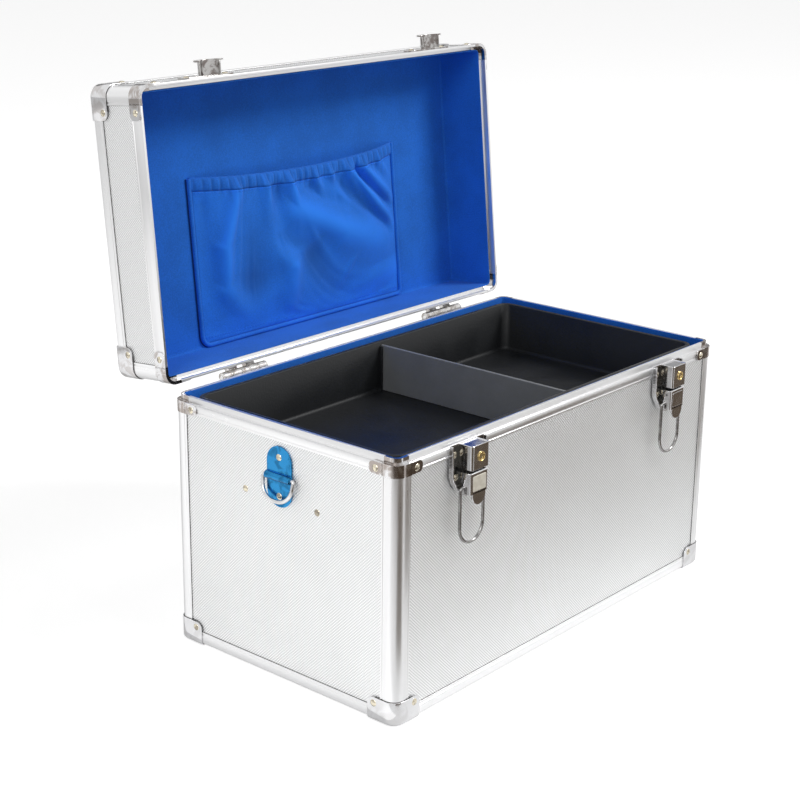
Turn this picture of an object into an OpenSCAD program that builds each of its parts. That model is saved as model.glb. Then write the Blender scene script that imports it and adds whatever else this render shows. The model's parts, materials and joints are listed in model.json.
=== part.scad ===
// Aluminium-framed family medicine box with a hinged lid, lift-out tray, two key
// latches, strap rings and a carrying handle. Millimetres, +Z up. The origin is on
// the floor under the middle of the base; the latches face -Y. The lid is drawn
// open, resting on its hinge stop.

/* [Case] */
// Width over the side rails
case_w = 410; // [320:5:520]
// Depth over the front and rear rails
case_d = 226; // [190:2:300]
// Height of the base from the floor to its shoulder
base_h = 198; // [170:1:260]
// Height of the lid from its edge to its top rails
lid_h = 56; // [50:1:90]
// Angle at which the open lid rests on its hinge stop
lid_open = 95.5; // [92:0.5:105]
// Gap between the base shoulder and the edge of the closed lid
seam_gap = 1; // [0.8:0.1:2]

/* [Boards] */
// Thickness of the faced boards
panel_t = 4; // [3:0.5:6]
// Thickness of the aluminium skins that lap over the boards
skin_t = 0.8; // [0.6:0.1:1.2]

/* [Frame] */
// Length of each leg of a corner post
post_leg = 14.5; // [13.5:0.5:20]
// Outer radius of the corner posts
post_r = 9; // [6:0.5:10]
// Height of the foot rails
foot_rail_h = 10.5; // [8:0.5:16]
// Height of the top rails of the lid
top_rail_h = 11; // [8:0.5:14]
// Height of the outer band of the base rim
base_rim_h = 7.5; // [6:0.5:12]
// Height of the outer band of the lid rim
lid_rim_h = 12; // [10:0.5:16]
// Height of the raised tongue that enters the lid
tongue_h = 5; // [3:0.5:7]
// Thickness of the tongue
tongue_t = 2.4; // [1.6:0.2:2.6]
// Clearance around the tongue inside the closed lid
tongue_fit = 0.4; // [0.3:0.1:0.8]
// Clearance between the tongue and the lid web above it
tongue_gap = 1.5; // [1.2:0.1:2.5]
// Clearance at the joints between frame pieces
joint_fit = 0.1; // [0.05:0.05:0.3]

/* [Corner fittings] */
// Sheet thickness of the corner caps
cap_t = 1; // [0.6:0.1:1.5]
// Length of each leg of a corner cap
cap_leg = 26; // [20:1:34]
// Height of the corner caps
cap_h = 19; // [15:1:26]
// Sheet thickness of the rim corner brackets
bracket_t = 0.7; // [0.5:0.1:1]
// Length of each leg of a rim corner bracket
bracket_leg = 26; // [20:1:34]
// Height of the rim corner brackets of the base below the shoulder
bracket_h = 8.5; // [6:0.5:12]
// Radius of the corner rivets
corner_rivet_r = 2; // [1.5:0.1:2.4]
// Distance of the corner rivets from the corner
corner_rivet_in = 20; // [15:1:24]

/* [Latches] */
// Distance of each latch from the side of the case
latch_in = 74; // [50:1:90]
// Width of a latch plate
latch_w = 38.4; // [34:0.4:46]
// Height of the straight part of a latch plate
latch_straight = 25; // [22:1:32]
// Height of the tapered nose below it
latch_nose = 16; // [13:1:20]
// Sheet thickness of the latch pieces
latch_t = 1.2; // [1:0.1:1.5]
// Height of the turned edge of a latch plate
latch_lip = 4.2; // [2:0.2:5]
// Width of the lock cover and the lever
lever_w = 20; // [18:0.5:22]
// How far the lock cover stands out from the rail
cover_out = 14; // [12.5:0.5:17]
// Height of the lock cover
cover_h = 18.4; // [16:0.2:22]
// Length of the lever below its pivot
lever_drop = 21.5; // [19:0.5:26]
// Radius of the lock cylinder
lock_r = 3.7; // [3:0.1:4.2]
// Radius of the lever pins
lever_pin_r = 1.2; // [1:0.1:1.4]
// Radius of the bail wire
bail_wire_r = 1.25; // [1:0.05:1.4]
// Half width of the bail at the middle of its wire
bail_half = 13.3; // [12.9:0.1:14.5]
// Running clearance of pins in their holes
pin_fit = 0.06; // [0.03:0.01:0.1]

/* [Keepers] */
// Width of a keeper plate
keeper_w = 50; // [40:1:60]
// Height of a keeper plate
keeper_h = 12.4; // [11:0.2:16]
// How far the keeper hood stands out
keeper_out = 13; // [12:0.5:16]
// Height of the lip that holds the bail on the hood
keeper_lip = 3; // [2:0.2:4]

/* [Strap rings] */
// Width of a strap ring plate
strap_w = 25; // [20:1:32]
// Height of a strap ring plate
strap_h = 47; // [40:1:60]
// Distance of the ring bar below the shoulder
strap_down = 34.5; // [34:0.5:60]
// Sheet thickness of the plate
strap_t = 1.4; // [1:0.1:2]
// Radius of the ring wire
ring_wire_r = 1.5; // [1.2:0.1:2]
// Length of the ring below its bar
ring_drop = 18; // [16.5:0.5:24]
// Angle at which the hanging ring leans out on its plate
ring_lean = 12; // [10:1:20]

/* [Hinges] */
// Distance of each hinge from the side of the case
hinge_in = 81; // [60:1:95]
// Width of a hinge
hinge_w = 48; // [36:1:60]
// Distance of the hinge axis behind the rear rails
hinge_out = 6.5; // [6:0.1:8]
// Height of the hinge axis above the shoulder
hinge_up = 2.5; // [2:0.1:3]
// Outer radius of the knuckles
knuckle_r = 4; // [3.4:0.1:4.3]
// Radius of the hinge pins
hinge_pin_r = 1.5; // [1.2:0.1:1.8]
// Sheet thickness of the hinge leaves
leaf_t = 1.5; // [1:0.1:2]
// Height of the leaf plates
leaf_h = 28; // [22:1:36]

/* [Tray] */
// Gap between the tray edge and the lining
tray_gap = 5; // [3:0.5:8]
// Depth of the tray
tray_h = 45; // [35:1:60]
// Wall thickness of the tray
tray_t = 2; // [1.5:0.1:3]
// Width of the rolled edge of the tray
tray_edge = 2; // [1:0.5:3]
// Corner radius of the tray
tray_r = 9; // [6:1:20]
// How far the tray edge lies below the top of the tongue
tray_sink = 3; // [2:0.5:10]
// Distance of the divider from the middle
divider_x = 18; // [-100:1:100]
// Thickness of the divider
divider_t = 2.4; // [1.6:0.2:4]
// Length of each tray support
support_len = 100; // [90:1:160]
// Sheet thickness of the tray supports
support_t = 1.5; // [1:0.1:2.5]
// Width of the shelf that carries the tray
support_shelf = 15; // [12:1:22]

/* [Lining and pocket] */
// Thickness of the lining
lining_t = 1; // [0.6:0.1:1.5]
// Clearance between the lining and the boards
lining_fit = 0.2; // [0.1:0.1:0.4]
// Width of the pocket
pocket_w = 243; // [160:1:290]
// Height of the pocket with its band
pocket_h = 137; // [90:1:150]
// Distance of the foot of the pocket from the rear rails
pocket_foot = 9; // [8:1:20]
// How far the pocket bulges from the lining
pocket_bulge = 15; // [12:1:20]
// Thickness of the pocket cloth
pocket_t = 1.2; // [0.8:0.1:1.6]
// Height of the gathered elastic band
band_h = 11; // [8:0.5:16]
// Thickness of the band
band_t = 2.2; // [1.6:0.1:3]

/* [Handle] */
// Length of the handle between its legs
handle_w = 104; // [90:1:130]
// Length of the handle legs
handle_leg = 32; // [28:1:42]
// Radius of the handle wire
handle_wire_r = 2.5; // [2:0.1:3]
// Radius of the grip
grip_r = 8.5; // [7:0.5:10]
// Width of each handle plate
saddle_w = 20; // [16:1:26]
// Length of each handle plate
saddle_len = 36; // [30:1:44]
// Sheet thickness of the handle plates
saddle_t = 1.4; // [1:0.1:2]

/* [Hidden] */
$fn = 48;

// Colours
board_colour = [0.80, 0.81, 0.82];
aluminium_colour = [0.72, 0.73, 0.74];
chrome_colour = [0.60, 0.60, 0.62];
lining_colour = [0.03, 0.08, 0.50];
band_colour = [0.02, 0.06, 0.40];
tray_colour = [0.06, 0.06, 0.07];
brass_colour = [0.78, 0.62, 0.25];
blue_metal_colour = [0.00, 0.33, 0.72];

eps = 0.01;

// Heights of the base
rail_z = cap_t;                               // underside of the foot rails
board_z = rail_z + skin_t;                    // underside of the base boards
shoulder_z = base_h;
tongue_z = shoulder_z + tongue_h;             // top of the tongue
web_t = 1.4;                                  // thickness of the rim webs
wall_in = skin_t + panel_t;                   // outer face of the rails to inner face of the boards
tongue_set = wall_in - tongue_t;              // outer face of the rails to the tongue
panel_back = post_r + 1;                      // board ends, measured from the corner
rail_leg = post_leg - 0.5;                    // flat legs of the rails, short of the next rail

// Heights of the closed lid
lid_edge_z = shoulder_z + seam_gap;
lid_top_z = lid_edge_z + lid_h;
lid_web_z = tongue_z + tongue_gap;            // underside of the lid rim web
lid_band_t = tongue_set - tongue_fit;         // thickness of the lid rim below its web
lid_board_top = lid_top_z - skin_t;

// Lining
base_floor_z = board_z + panel_t + lining_fit;
lining_half_w = case_w / 2 - wall_in - lining_fit;
lining_half_d = case_d / 2 - wall_in - lining_fit;
lining_r = post_r - wall_in - lining_fit;
lid_ceiling_z = lid_board_top - panel_t - lining_fit - lining_t;

// Hinges
hinge_x = case_w / 2 - hinge_in;
hinge_y = case_d / 2 + hinge_out;
hinge_z = shoulder_z + hinge_up;
knuckles = 5;
knuckle_gap = 0.3;
leaf_near = 3.3;                              // between the axis and the leaf plates
leaf_web_near = 6.5;                          // between the axis and the outer end of a leaf web
leaf_rivet_off = leaf_near + leaf_h / 2;
leaf_corner_r = 3;

// Latch, measured from the outer face of the front rail (y) and from the floor (z)
latch_x = case_w / 2 - latch_in;
latch_top = shoulder_z + 2;
nose_r = 9;                                   // round lower end of a latch plate
cover_z = latch_top - cover_h;
lever_gap = 2.6;                              // between the lock cover and the lever
lever_top = cover_z - lever_gap;
lever_front = cover_out - 1;
lever_clear = 0.4;                            // between the lever and the pieces beside it
lever_tip_r = 7.5;
lever_side_back = latch_lip + lever_clear;    // where the lever sides end towards the case
lever_pivot_z = lever_top - 3.5;              // height of the lever pin
lever_pivot_y = -lever_front + 4.5;           // the lever pin, behind the front of the lever
ear_r = 2.6;
bail_pivot_y = lever_pivot_y + 2;
bail_pivot_z = lever_pivot_z - 8;
bail_seat = 4.5;                              // lever sides below the bail pivot
bail_hook_gap = 0.35;                         // between the engaged bail and the keeper
keeper_gap = 0.6;                             // between the latch and the keeper above it
keeper_base_z = latch_top + keeper_gap;
keeper_cut_z = keeper_base_z + 0.4;
hood_rise = 8.45;                             // hood above its straight lower edge
hood_top_z = keeper_cut_z + hood_rise;
hood_r = bail_half - bail_wire_r - bail_hook_gap;
hood_z = hood_top_z - hood_r;
bail_leg = hood_z - bail_pivot_z;
lock_z = cover_z + cover_h / 2;
rivet_r = 2;
rivet_h = 1.1;
rivet_margin = 5;                             // rivet centres inside the edge of a latch or keeper plate
upper_rivet_down = 8;                         // upper latch rivets below the top of the plate
cap_rivet_z = cap_h * 0.76;                   // rivets above the underside of a corner cap

// Strap ring, measured outwards from the side board
strap_z = shoulder_z - strap_down;
ring_bar_out = ring_wire_r + 0.4;
tunnel_wall = 1.5;
ring_half = strap_w / 2 + 1 + ring_wire_r;
strap_rivet = strap_h / 2 - 8.5;

// Handle, measured upwards from the top board
handle_pivot_up = handle_wire_r + 0.6;
grip_rest_gap = 0.5;
handle_fold = asin((grip_r + grip_rest_gap - handle_pivot_up) / handle_leg);
saddle_gap = 0.6;                             // between a handle leg and its plate

// Tray
tray_top_z = tongue_z - tray_sink;
tray_z = tray_top_z - tray_h;
tray_half_w = lining_half_w - lining_t - tray_gap - tray_edge;
tray_half_d = lining_half_d - lining_t - tray_gap - tray_edge;
tray_rest_gap = 0.2;
support_drop = 17;                            // height of the upright leg of a tray support
support_rivet_y = 36.5;
support_rivet_z = tray_z - 10;
divider_fit = 0.3;
divider_sink = 3;
guide_t = 1.6;
guide_w = 3;

// Pocket cloth
pocket_cols = 40;
pocket_rows = 11;
pocket_folds = 9;
fold_depth = 1.8;
sew_gap = 0.3;                                // between the sewn edges and the lining
band_gap = 0.1;                               // between the ends of the band and the lining
pocket_y1 = case_d / 2 - pocket_foot;
pocket_y0 = pocket_y1 - pocket_h + band_h;
mouth_share = 0.8;                            // bulge of the mouth as a share of the full bulge

// Placement helpers

// Side 0 front, 1 right, 2 rear, 3 left: x runs along the side, y points into the case
module on_side(s) {
  off = s % 2 == 0 ? case_d / 2 : case_w / 2;
  rotate([0, 0, 90 * s]) translate([0, -off, 0]) children();
}

function side_len(s) = s % 2 == 0 ? case_w : case_d;

// Outer corner at the origin, both legs pointing into the case
module at_corner(sx, sy) {
  translate([sx * case_w / 2, sy * case_d / 2, 0])
    mirror([sx > 0 ? 1 : 0, 0, 0])
      mirror([0, sy > 0 ? 1 : 0, 0])
        children();
}

module all_corners() {
  for (sx = [-1, 1], sy = [-1, 1]) at_corner(sx, sy) children();
}

// Profile x becomes y, profile y becomes z, extruded along x about the middle
module along_x(length) {
  rotate([90, 0, 90]) linear_extrude(length, center = true) children();
}

// Profile in x and z, extruded from y = 0 towards -y
module outwards(depth) {
  rotate([90, 0, 0]) linear_extrude(depth) children();
}

// Turns the closed lid to its rest position
module lid_pose() {
  translate([0, hinge_y, hinge_z])
    rotate([-lid_open, 0, 0])
      translate([0, -hinge_y, -hinge_z])
        children();
}

// Shared shapes

module round_rect(w, h, r) {
  union() {
    square([w - 2 * r, h], center = true);
    square([w, h - 2 * r], center = true);
    for (sx = [-1, 1], sy = [-1, 1])
      translate([sx * (w / 2 - r), sy * (h / 2 - r)]) circle(r = r);
  }
}

module stadium(w, h) {
  union() {
    square([w, h - w], center = true);
    for (s = [-1, 1]) translate([0, s * (h - w) / 2]) circle(r = w / 2);
  }
}

// Plan of a rounded outer corner, grown outwards by g, with legs of the given length
module corner_plan(length, g) {
  r = post_r + g;
  translate([post_r, post_r]) circle(r = r);
  translate([post_r, -g]) square([length - post_r, post_r + g]);
  translate([-g, post_r]) square([post_r + g, length - post_r]);
}

// Corner band between two distances inside the outer faces
module corner_band(length, from, to) {
  intersection() {
    difference() {
      corner_plan(length + 20, -from);
      translate([post_r, post_r]) circle(r = max(post_r - to, 0.2));
      translate([post_r, to]) square(length + 40);
      translate([to, post_r]) square(length + 40);
    }
    translate([-5, -5]) square(length + 5);
  }
}

// Plan of a sheet of thickness t wrapped round the outside of a corner
module skirt_plan(leg, t) {
  intersection() {
    difference() {
      corner_plan(2 * leg, t);
      corner_plan(3 * leg, 0);
      translate([post_r, post_r]) square(3 * leg);
    }
    translate([-t, -t]) square(leg + t);
  }
}

// Half-round saddle over a wire that lies at a height above its plate, and its bore
module saddle_outline(up, r) {
  difference() {
    union() {
      translate([0, up]) circle(r = r + tunnel_wall);
      translate([-r - tunnel_wall, 0]) square([2 * (r + tunnel_wall), up]);
    }
    translate([-2 * (r + tunnel_wall), -4 * r]) square([4 * (r + tunnel_wall), 4 * r]);
  }
}

module saddle_bore(up, r) {
  union() {
    translate([0, up]) circle(r = r);
    translate([-r, -1]) square([2 * r, up + 1]);
  }
}

// Domed rivet head on the plane z = 0
module rivet_head(r) {
  rotate_extrude()
    intersection() {
      translate([0, rivet_h - 2 * r]) circle(r = 2 * r);
      square([r, rivet_h]);
    }
}

// Rivet head on the outside of a side, at a distance along it, a height and a distance out
module side_rivet(s, x, z, out, r) {
  on_side(s) translate([x, -out, z]) rotate([90, 0, 0]) rivet_head(r);
}

module board(size) {
  color(board_colour) translate([-size[0] / 2, 0, 0]) cube(size);
}

// Side board between two heights
module side_board(s, z0, z1) {
  on_side(s)
    translate([0, skin_t, z0])
      board([side_len(s) - 2 * panel_back - 2 * joint_fit, panel_t, z1 - z0]);
}

// Corner post section with the slots that take two boards
module post_section() {
  difference() {
    corner_plan(post_leg, 0);
    translate([wall_in, wall_in]) square(post_leg);
    translate([panel_back, skin_t]) square([post_leg, panel_t + eps]);
    translate([skin_t, panel_back]) square([panel_t + eps, post_leg]);
  }
}

module post(sx, sy, z0, z1) {
  color(aluminium_colour)
    at_corner(sx, sy) translate([0, 0, z0]) linear_extrude(z1 - z0) post_section();
}

// Angle rail with a rounded outer edge; the flat leg lies at height 0
module angle_section(h) {
  edge_r = 2.4;
  difference() {
    union() {
      translate([edge_r, edge_r]) circle(r = edge_r);
      translate([edge_r, 0]) square([rail_leg - edge_r, edge_r]);
      translate([0, edge_r]) square([edge_r, h - edge_r]);
    }
    translate([skin_t, skin_t]) square([rail_leg, h]);
  }
}

module rail_run(s) {
  along_x(side_len(s) - 2 * post_leg - 2 * joint_fit) children();
}

// Base

module base_bottom_panel() {
  w = case_w - 2 * wall_in - 2 * joint_fit;
  d = case_d - 2 * wall_in - 2 * joint_fit;
  color(board_colour) translate([-w / 2, -d / 2, board_z]) cube([w, d, panel_t]);
}

module base_wall(s) {
  side_board(s, board_z + eps, shoulder_z - web_t);
}

module base_post(sx, sy) {
  post(sx, sy, rail_z, shoulder_z);
}

module base_foot_rails() {
  color(aluminium_colour)
    for (s = [0:3]) on_side(s) translate([0, 0, rail_z]) rail_run(s) angle_section(foot_rail_h);
}

// Band outside, web over the boards, and the tongue that enters the lid
module base_rim_section() {
  polygon([
    [0, shoulder_z - base_rim_h], [0, shoulder_z], [tongue_set, shoulder_z],
    [tongue_set, tongue_z], [wall_in, tongue_z], [wall_in, shoulder_z - web_t],
    [skin_t, shoulder_z - web_t], [skin_t, shoulder_z - base_rim_h]
  ]);
}

module base_rim(s) {
  color(aluminium_colour) on_side(s) rail_run(s) base_rim_section();
}

// Rounds the free upper corner of a leg that ends at the given length
module leg_rounding(length, h, r) {
  translate([length - r, 5, h - r])
    rotate([90, 0, 0])
      linear_extrude(10)
        difference() {
          square(r + 1);
          circle(r = r);
        }
}

// Pressed cap over three faces of a corner, standing on z = 0
module corner_cap() {
  short_edge = cap_leg * 0.35;
  tab_r = 6;
  difference() {
    union() {
      linear_extrude(cap_t)
        intersection() {
          corner_plan(2 * cap_leg, cap_t);
          polygon([
            [-cap_t, -cap_t], [cap_leg, -cap_t], [cap_leg, short_edge],
            [short_edge, cap_leg], [-cap_t, cap_leg]
          ]);
        }
      translate([0, 0, cap_t - eps])
        linear_extrude(cap_h - cap_t + eps) skirt_plan(cap_leg, cap_t);
    }
    leg_rounding(cap_leg, cap_h, tab_r);
    mirror([1, -1, 0]) leg_rounding(cap_leg, cap_h, tab_r);
  }
}

module base_corner_caps() {
  color(chrome_colour) all_corners() corner_cap();
}

// Skirt of a rim bracket outside the frame, between two heights
module bracket_skirt(z0, z1) {
  translate([0, 0, z0]) linear_extrude(z1 - z0) skirt_plan(bracket_leg, bracket_t);
}

module base_rim_corner() {
  shelf_z = shoulder_z + bracket_t;
  union() {
    bracket_skirt(shoulder_z - bracket_h, shelf_z);
    translate([0, 0, shoulder_z])
      linear_extrude(bracket_t) corner_band(bracket_leg, -bracket_t, tongue_set - joint_fit);
    translate([0, 0, shoulder_z])
      linear_extrude(tongue_z - shoulder_z) corner_band(post_leg, tongue_set - joint_fit - eps, wall_in);
  }
}

module base_rim_corners() {
  color(chrome_colour) all_corners() base_rim_corner();
}

module corner_rivets(z, out) {
  for (s = [0:3], e = [-1, 1])
    side_rivet(s, e * (side_len(s) / 2 - corner_rivet_in), z, out, corner_rivet_r);
}

// Two rows of rivets across a hinge leaf
module leaf_rivets(z) {
  for (e = [-1, 1], x = [-1, 0, 1])
    side_rivet(2, e * hinge_x + x * hinge_w / 3, z, leaf_t, rivet_r);
}

module base_rivets() {
  color(chrome_colour) {
    corner_rivets(cap_rivet_z, cap_t);
    corner_rivets(shoulder_z - bracket_h / 2, bracket_t);
    for (e = [-1, 1], x = [-1, 1]) {
      upper_x = latch_w / 2 - rivet_margin;
      lower_x = lever_w / 2 + rivet_r + 0.2;
      side_rivet(0, e * latch_x + x * upper_x, latch_top - upper_rivet_down, latch_t, rivet_r);
      side_rivet(0, e * latch_x + x * lower_x, latch_top - latch_straight, latch_t, rivet_r);
    }
    for (s = [1, 3], z = [-1, 1])
      side_rivet(s, 0, strap_z + z * strap_rivet, strap_t - skin_t, rivet_r);
    for (s = [1, 3], y = [-1, 1])
      side_rivet(s, y * support_rivet_y, support_rivet_z, -skin_t, rivet_r);
    leaf_rivets(hinge_z - leaf_rivet_off);
  }
}

// Open cloth shell between two heights, closed at z0
module cloth_shell(z0, z1) {
  inner_w = 2 * (lining_half_w - lining_t);
  inner_d = 2 * (lining_half_d - lining_t);
  difference() {
    translate([0, 0, z0])
      linear_extrude(z1 - z0) round_rect(2 * lining_half_w, 2 * lining_half_d, lining_r);
    translate([0, 0, z0 + lining_t])
      linear_extrude(z1 - z0) round_rect(inner_w, inner_d, max(lining_r - lining_t, eps));
  }
}

module base_lining() {
  color(lining_colour) cloth_shell(base_floor_z, tongue_z - 0.4);
}

module tray_supports() {
  top = tray_z - tray_rest_gap;
  color(aluminium_colour)
    for (s = [1, 3])
      on_side(s)
        translate([-support_len / 2, wall_in + lining_fit + lining_t, 0])
          union() {
            translate([0, 0, top - support_drop]) cube([support_len, support_t, support_drop]);
            translate([0, 0, top - support_t]) cube([support_len, support_shelf, support_t]);
          }
}

// Latches

// Front view of a latch plate, drawn in by g on its sides and lower edges
module latch_outline(g) {
  half = latch_w / 2 - g;
  nose_half = nose_r - 1 - g / 2;
  taper_z = latch_top - latch_straight;
  nose_z = taper_z - latch_nose;
  union() {
    polygon([
      [-half, latch_top], [half, latch_top], [half, taper_z + g / 2],
      [nose_half, nose_z + nose_r / 2 + g], [-nose_half, nose_z + nose_r / 2 + g],
      [-half, taper_z + g / 2]
    ]);
    translate([0, nose_z + nose_r]) circle(r = nose_r - g);
  }
}

module at_latch(side) {
  translate([side * latch_x, -case_d / 2, 0]) children();
}

// Round hole through both sides of the latch, along x
module latch_bore(y, z, r) {
  translate([0, y, z]) rotate([0, 90, 0]) cylinder(h = latch_w, r = r, center = true);
}

module latch_plate(side) {
  half = lever_w / 2;
  ear_out = half - latch_t - lever_clear;
  color(chrome_colour)
    at_latch(side)
      difference() {
        union() {
          outwards(latch_t) latch_outline(0);
          outwards(latch_lip)
            difference() {
              latch_outline(0);
              latch_outline(latch_t);
              translate([-half * 2, latch_top - 1]) square([half * 4, 2]);
            }
          difference() {
            translate([-half, -cover_out, cover_z])
              cube([lever_w, cover_out - latch_t / 2, cover_h]);
            translate([latch_t - half, latch_t - cover_out, cover_z - 1])
              cube([lever_w - 2 * latch_t, cover_out, cover_h + 2]);
          }
          for (s = [-1, 1])
            translate([s * (ear_out - latch_t / 2), 0, 0])
              along_x(latch_t)
                union() {
                  translate([lever_pivot_y, lever_pivot_z]) circle(r = ear_r);
                  translate([lever_pivot_y, lever_pivot_z - ear_r])
                    square([-lever_pivot_y - latch_t / 2, 2 * ear_r]);
                }
        }
        latch_bore(lever_pivot_y, lever_pivot_z, lever_pin_r + pin_fit);
        translate([0, -cover_out / 2, lock_z])
          rotate([90, 0, 0]) cylinder(h = cover_out, r = lock_r + pin_fit);
      }
}

module latch_pins() {
  color(chrome_colour)
    for (side = [-1, 1])
      at_latch(side)
        translate([0, lever_pivot_y, lever_pivot_z])
          rotate([0, 90, 0]) cylinder(h = lever_w, r = lever_pin_r, center = true);
}

module latch_lever(side) {
  half = lever_w / 2;
  tip_z = lever_pivot_z - lever_drop + lever_tip_r;
  side_z = bail_pivot_z - bail_seat;
  color(chrome_colour)
    at_latch(side)
      difference() {
        union() {
          translate([0, latch_t - lever_front, 0])
            outwards(latch_t)
              union() {
                translate([-half, side_z]) square([lever_w, lever_top - side_z]);
                translate([-lever_tip_r, tip_z]) square([2 * lever_tip_r, side_z - tip_z + 1]);
                translate([0, tip_z]) circle(r = lever_tip_r);
              }
          for (s = [-1, 1])
            translate([s * (half - latch_t / 2) - latch_t / 2, -lever_front, side_z])
              cube([latch_t, lever_front - lever_side_back, lever_top - side_z]);
        }
        latch_bore(lever_pivot_y, lever_pivot_z, lever_pin_r + pin_fit);
        latch_bore(bail_pivot_y, bail_pivot_z, bail_wire_r + pin_fit);
      }
}

// Wire loop in the plane y = 0: pivot ends, two legs and a round bend
module wire_loop(half, leg, wire_r, end_in) {
  for (s = [-1, 1]) {
    translate([s * half, 0, 0]) sphere(r = wire_r);
    translate([s * half, 0, -leg]) cylinder(h = leg, r = wire_r);
    translate([s * (half - end_in / 2), 0, 0])
      rotate([0, 90, 0]) cylinder(h = end_in, r = wire_r, center = true);
  }
  translate([0, 0, -leg])
    rotate([-90, 0, 0])
      rotate_extrude(angle = 180) translate([half, 0]) circle(r = wire_r);
}

module latch_bail(side) {
  end_in = bail_half - (lever_w / 2 - latch_t) - 0.1;
  color(chrome_colour)
    at_latch(side)
      translate([0, bail_pivot_y, bail_pivot_z])
        wire_loop(bail_half, bail_leg, bail_wire_r, end_in);
}

module lock_cylinder(side) {
  color(brass_colour)
    at_latch(side)
      translate([0, -cover_out - 0.9, lock_z])
        rotate([-90, 0, 0])
          difference() {
            cylinder(h = cover_out * 0.6, r = lock_r);
            translate([0, 0, -1]) cylinder(h = 3.5, r = 0.9);
            translate([-0.4, 0, -1]) cube([0.8, 2.6, 3.5]);
          }
}

// Strap rings

// Outwards is -y of the side; the board face is skin_t inside the rails
module at_strap(s) {
  on_side(s) translate([0, skin_t, strap_z]) children();
}

module strap_bracket(s) {
  tunnel_r = ring_wire_r + pin_fit;
  color(blue_metal_colour)
    at_strap(s)
      difference() {
        union() {
          outwards(strap_t) stadium(strap_w, strap_h);
          along_x(strap_w) rotate(90) saddle_outline(ring_bar_out, tunnel_r);
        }
        along_x(strap_w + 2) rotate(90) saddle_bore(ring_bar_out, tunnel_r);
      }
}

module strap_ring(s) {
  leg = ring_drop - ring_half;
  color(chrome_colour)
    at_strap(s)
      translate([0, -ring_bar_out, 0])
        rotate([-ring_lean, 0, 0])
          wire_loop(ring_half, leg, ring_wire_r, ring_half + eps);
}

// Hinges

// Section of a leaf in y and z: flat plate on the rear face, web and knuckle.
// up = 1 for the leaf above the axis, -1 for the leaf below it
module leaf_web(up) {
  y0 = case_d / 2;
  polygon([
    [y0, hinge_z + up * leaf_web_near], [y0 + leaf_t, hinge_z + up * (leaf_web_near + leaf_t)],
    [hinge_y + knuckle_r * 0.5, hinge_z + up * knuckle_r * 0.8],
    [hinge_y, hinge_z], [hinge_y - knuckle_r * 0.3, hinge_z],
    [y0, hinge_z + up * leaf_near]
  ]);
}

module hinge_leaf(side, up) {
  step = hinge_w / knuckles;
  first = up > 0 ? 1 : 0;
  y0 = case_d / 2;
  plate_z = hinge_z + up * leaf_rivet_off;
  color(aluminium_colour)
    translate([side * hinge_x, 0, 0])
      difference() {
        union() {
          translate([0, y0 + leaf_t, plate_z])
            outwards(leaf_t) round_rect(hinge_w, leaf_h, leaf_corner_r);
          for (k = [first:2:knuckles - 1])
            translate([(k + 0.5) * step - hinge_w / 2, 0, 0])
              along_x(step - knuckle_gap)
                union() {
                  translate([hinge_y, hinge_z]) circle(r = knuckle_r);
                  leaf_web(up);
                }
        }
        translate([0, hinge_y, hinge_z])
          rotate([0, 90, 0]) cylinder(h = hinge_w + 2, r = hinge_pin_r + pin_fit, center = true);
      }
}

module hinge_pins() {
  color(chrome_colour)
    for (side = [-1, 1])
      translate([side * hinge_x, hinge_y, hinge_z])
        rotate([0, 90, 0]) cylinder(h = hinge_w, r = hinge_pin_r, center = true);
}

// Lid, drawn closed and turned by lid_pose

module lid_top_panel() {
  w = case_w - 2 * wall_in - 2 * joint_fit;
  d = case_d - 2 * wall_in - 2 * joint_fit;
  color(board_colour)
    lid_pose() translate([-w / 2, -d / 2, lid_board_top - panel_t]) cube([w, d, panel_t]);
}

module lid_wall(s) {
  lid_pose() side_board(s, lid_web_z + web_t, lid_board_top - eps);
}

module lid_posts() {
  for (sx = [-1, 1], sy = [-1, 1])
    lid_pose() post(sx, sy, lid_web_z + web_t, lid_top_z);
}

module lid_top_rails() {
  color(aluminium_colour)
    for (s = [0:3])
      lid_pose()
        on_side(s)
          translate([0, 0, lid_top_z])
            mirror([0, 0, 1]) rail_run(s) angle_section(top_rail_h);
}

module lid_rim_section() {
  polygon([
    [0, lid_edge_z + lid_rim_h], [0, lid_edge_z], [lid_band_t, lid_edge_z],
    [lid_band_t, lid_web_z], [wall_in, lid_web_z], [wall_in, lid_web_z + web_t],
    [skin_t, lid_web_z + web_t], [skin_t, lid_edge_z + lid_rim_h]
  ]);
}

module lid_rims() {
  color(aluminium_colour) for (s = [0:3]) lid_pose() on_side(s) rail_run(s) lid_rim_section();
}

module lid_corner_caps() {
  color(chrome_colour)
    for (sx = [-1, 1], sy = [-1, 1])
      lid_pose()
        translate([0, 0, lid_top_z + cap_t]) mirror([0, 0, 1]) at_corner(sx, sy) corner_cap();
}

module lid_rim_corner() {
  union() {
    bracket_skirt(lid_edge_z, lid_edge_z + lid_rim_h);
    translate([0, 0, lid_edge_z])
      linear_extrude(lid_web_z - lid_edge_z + eps) corner_band(post_leg, -eps, lid_band_t);
    translate([0, 0, lid_web_z])
      linear_extrude(web_t) corner_band(post_leg, -eps, wall_in);
  }
}

module lid_rim_corners() {
  color(chrome_colour)
    for (sx = [-1, 1], sy = [-1, 1]) lid_pose() at_corner(sx, sy) lid_rim_corner();
}

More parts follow.
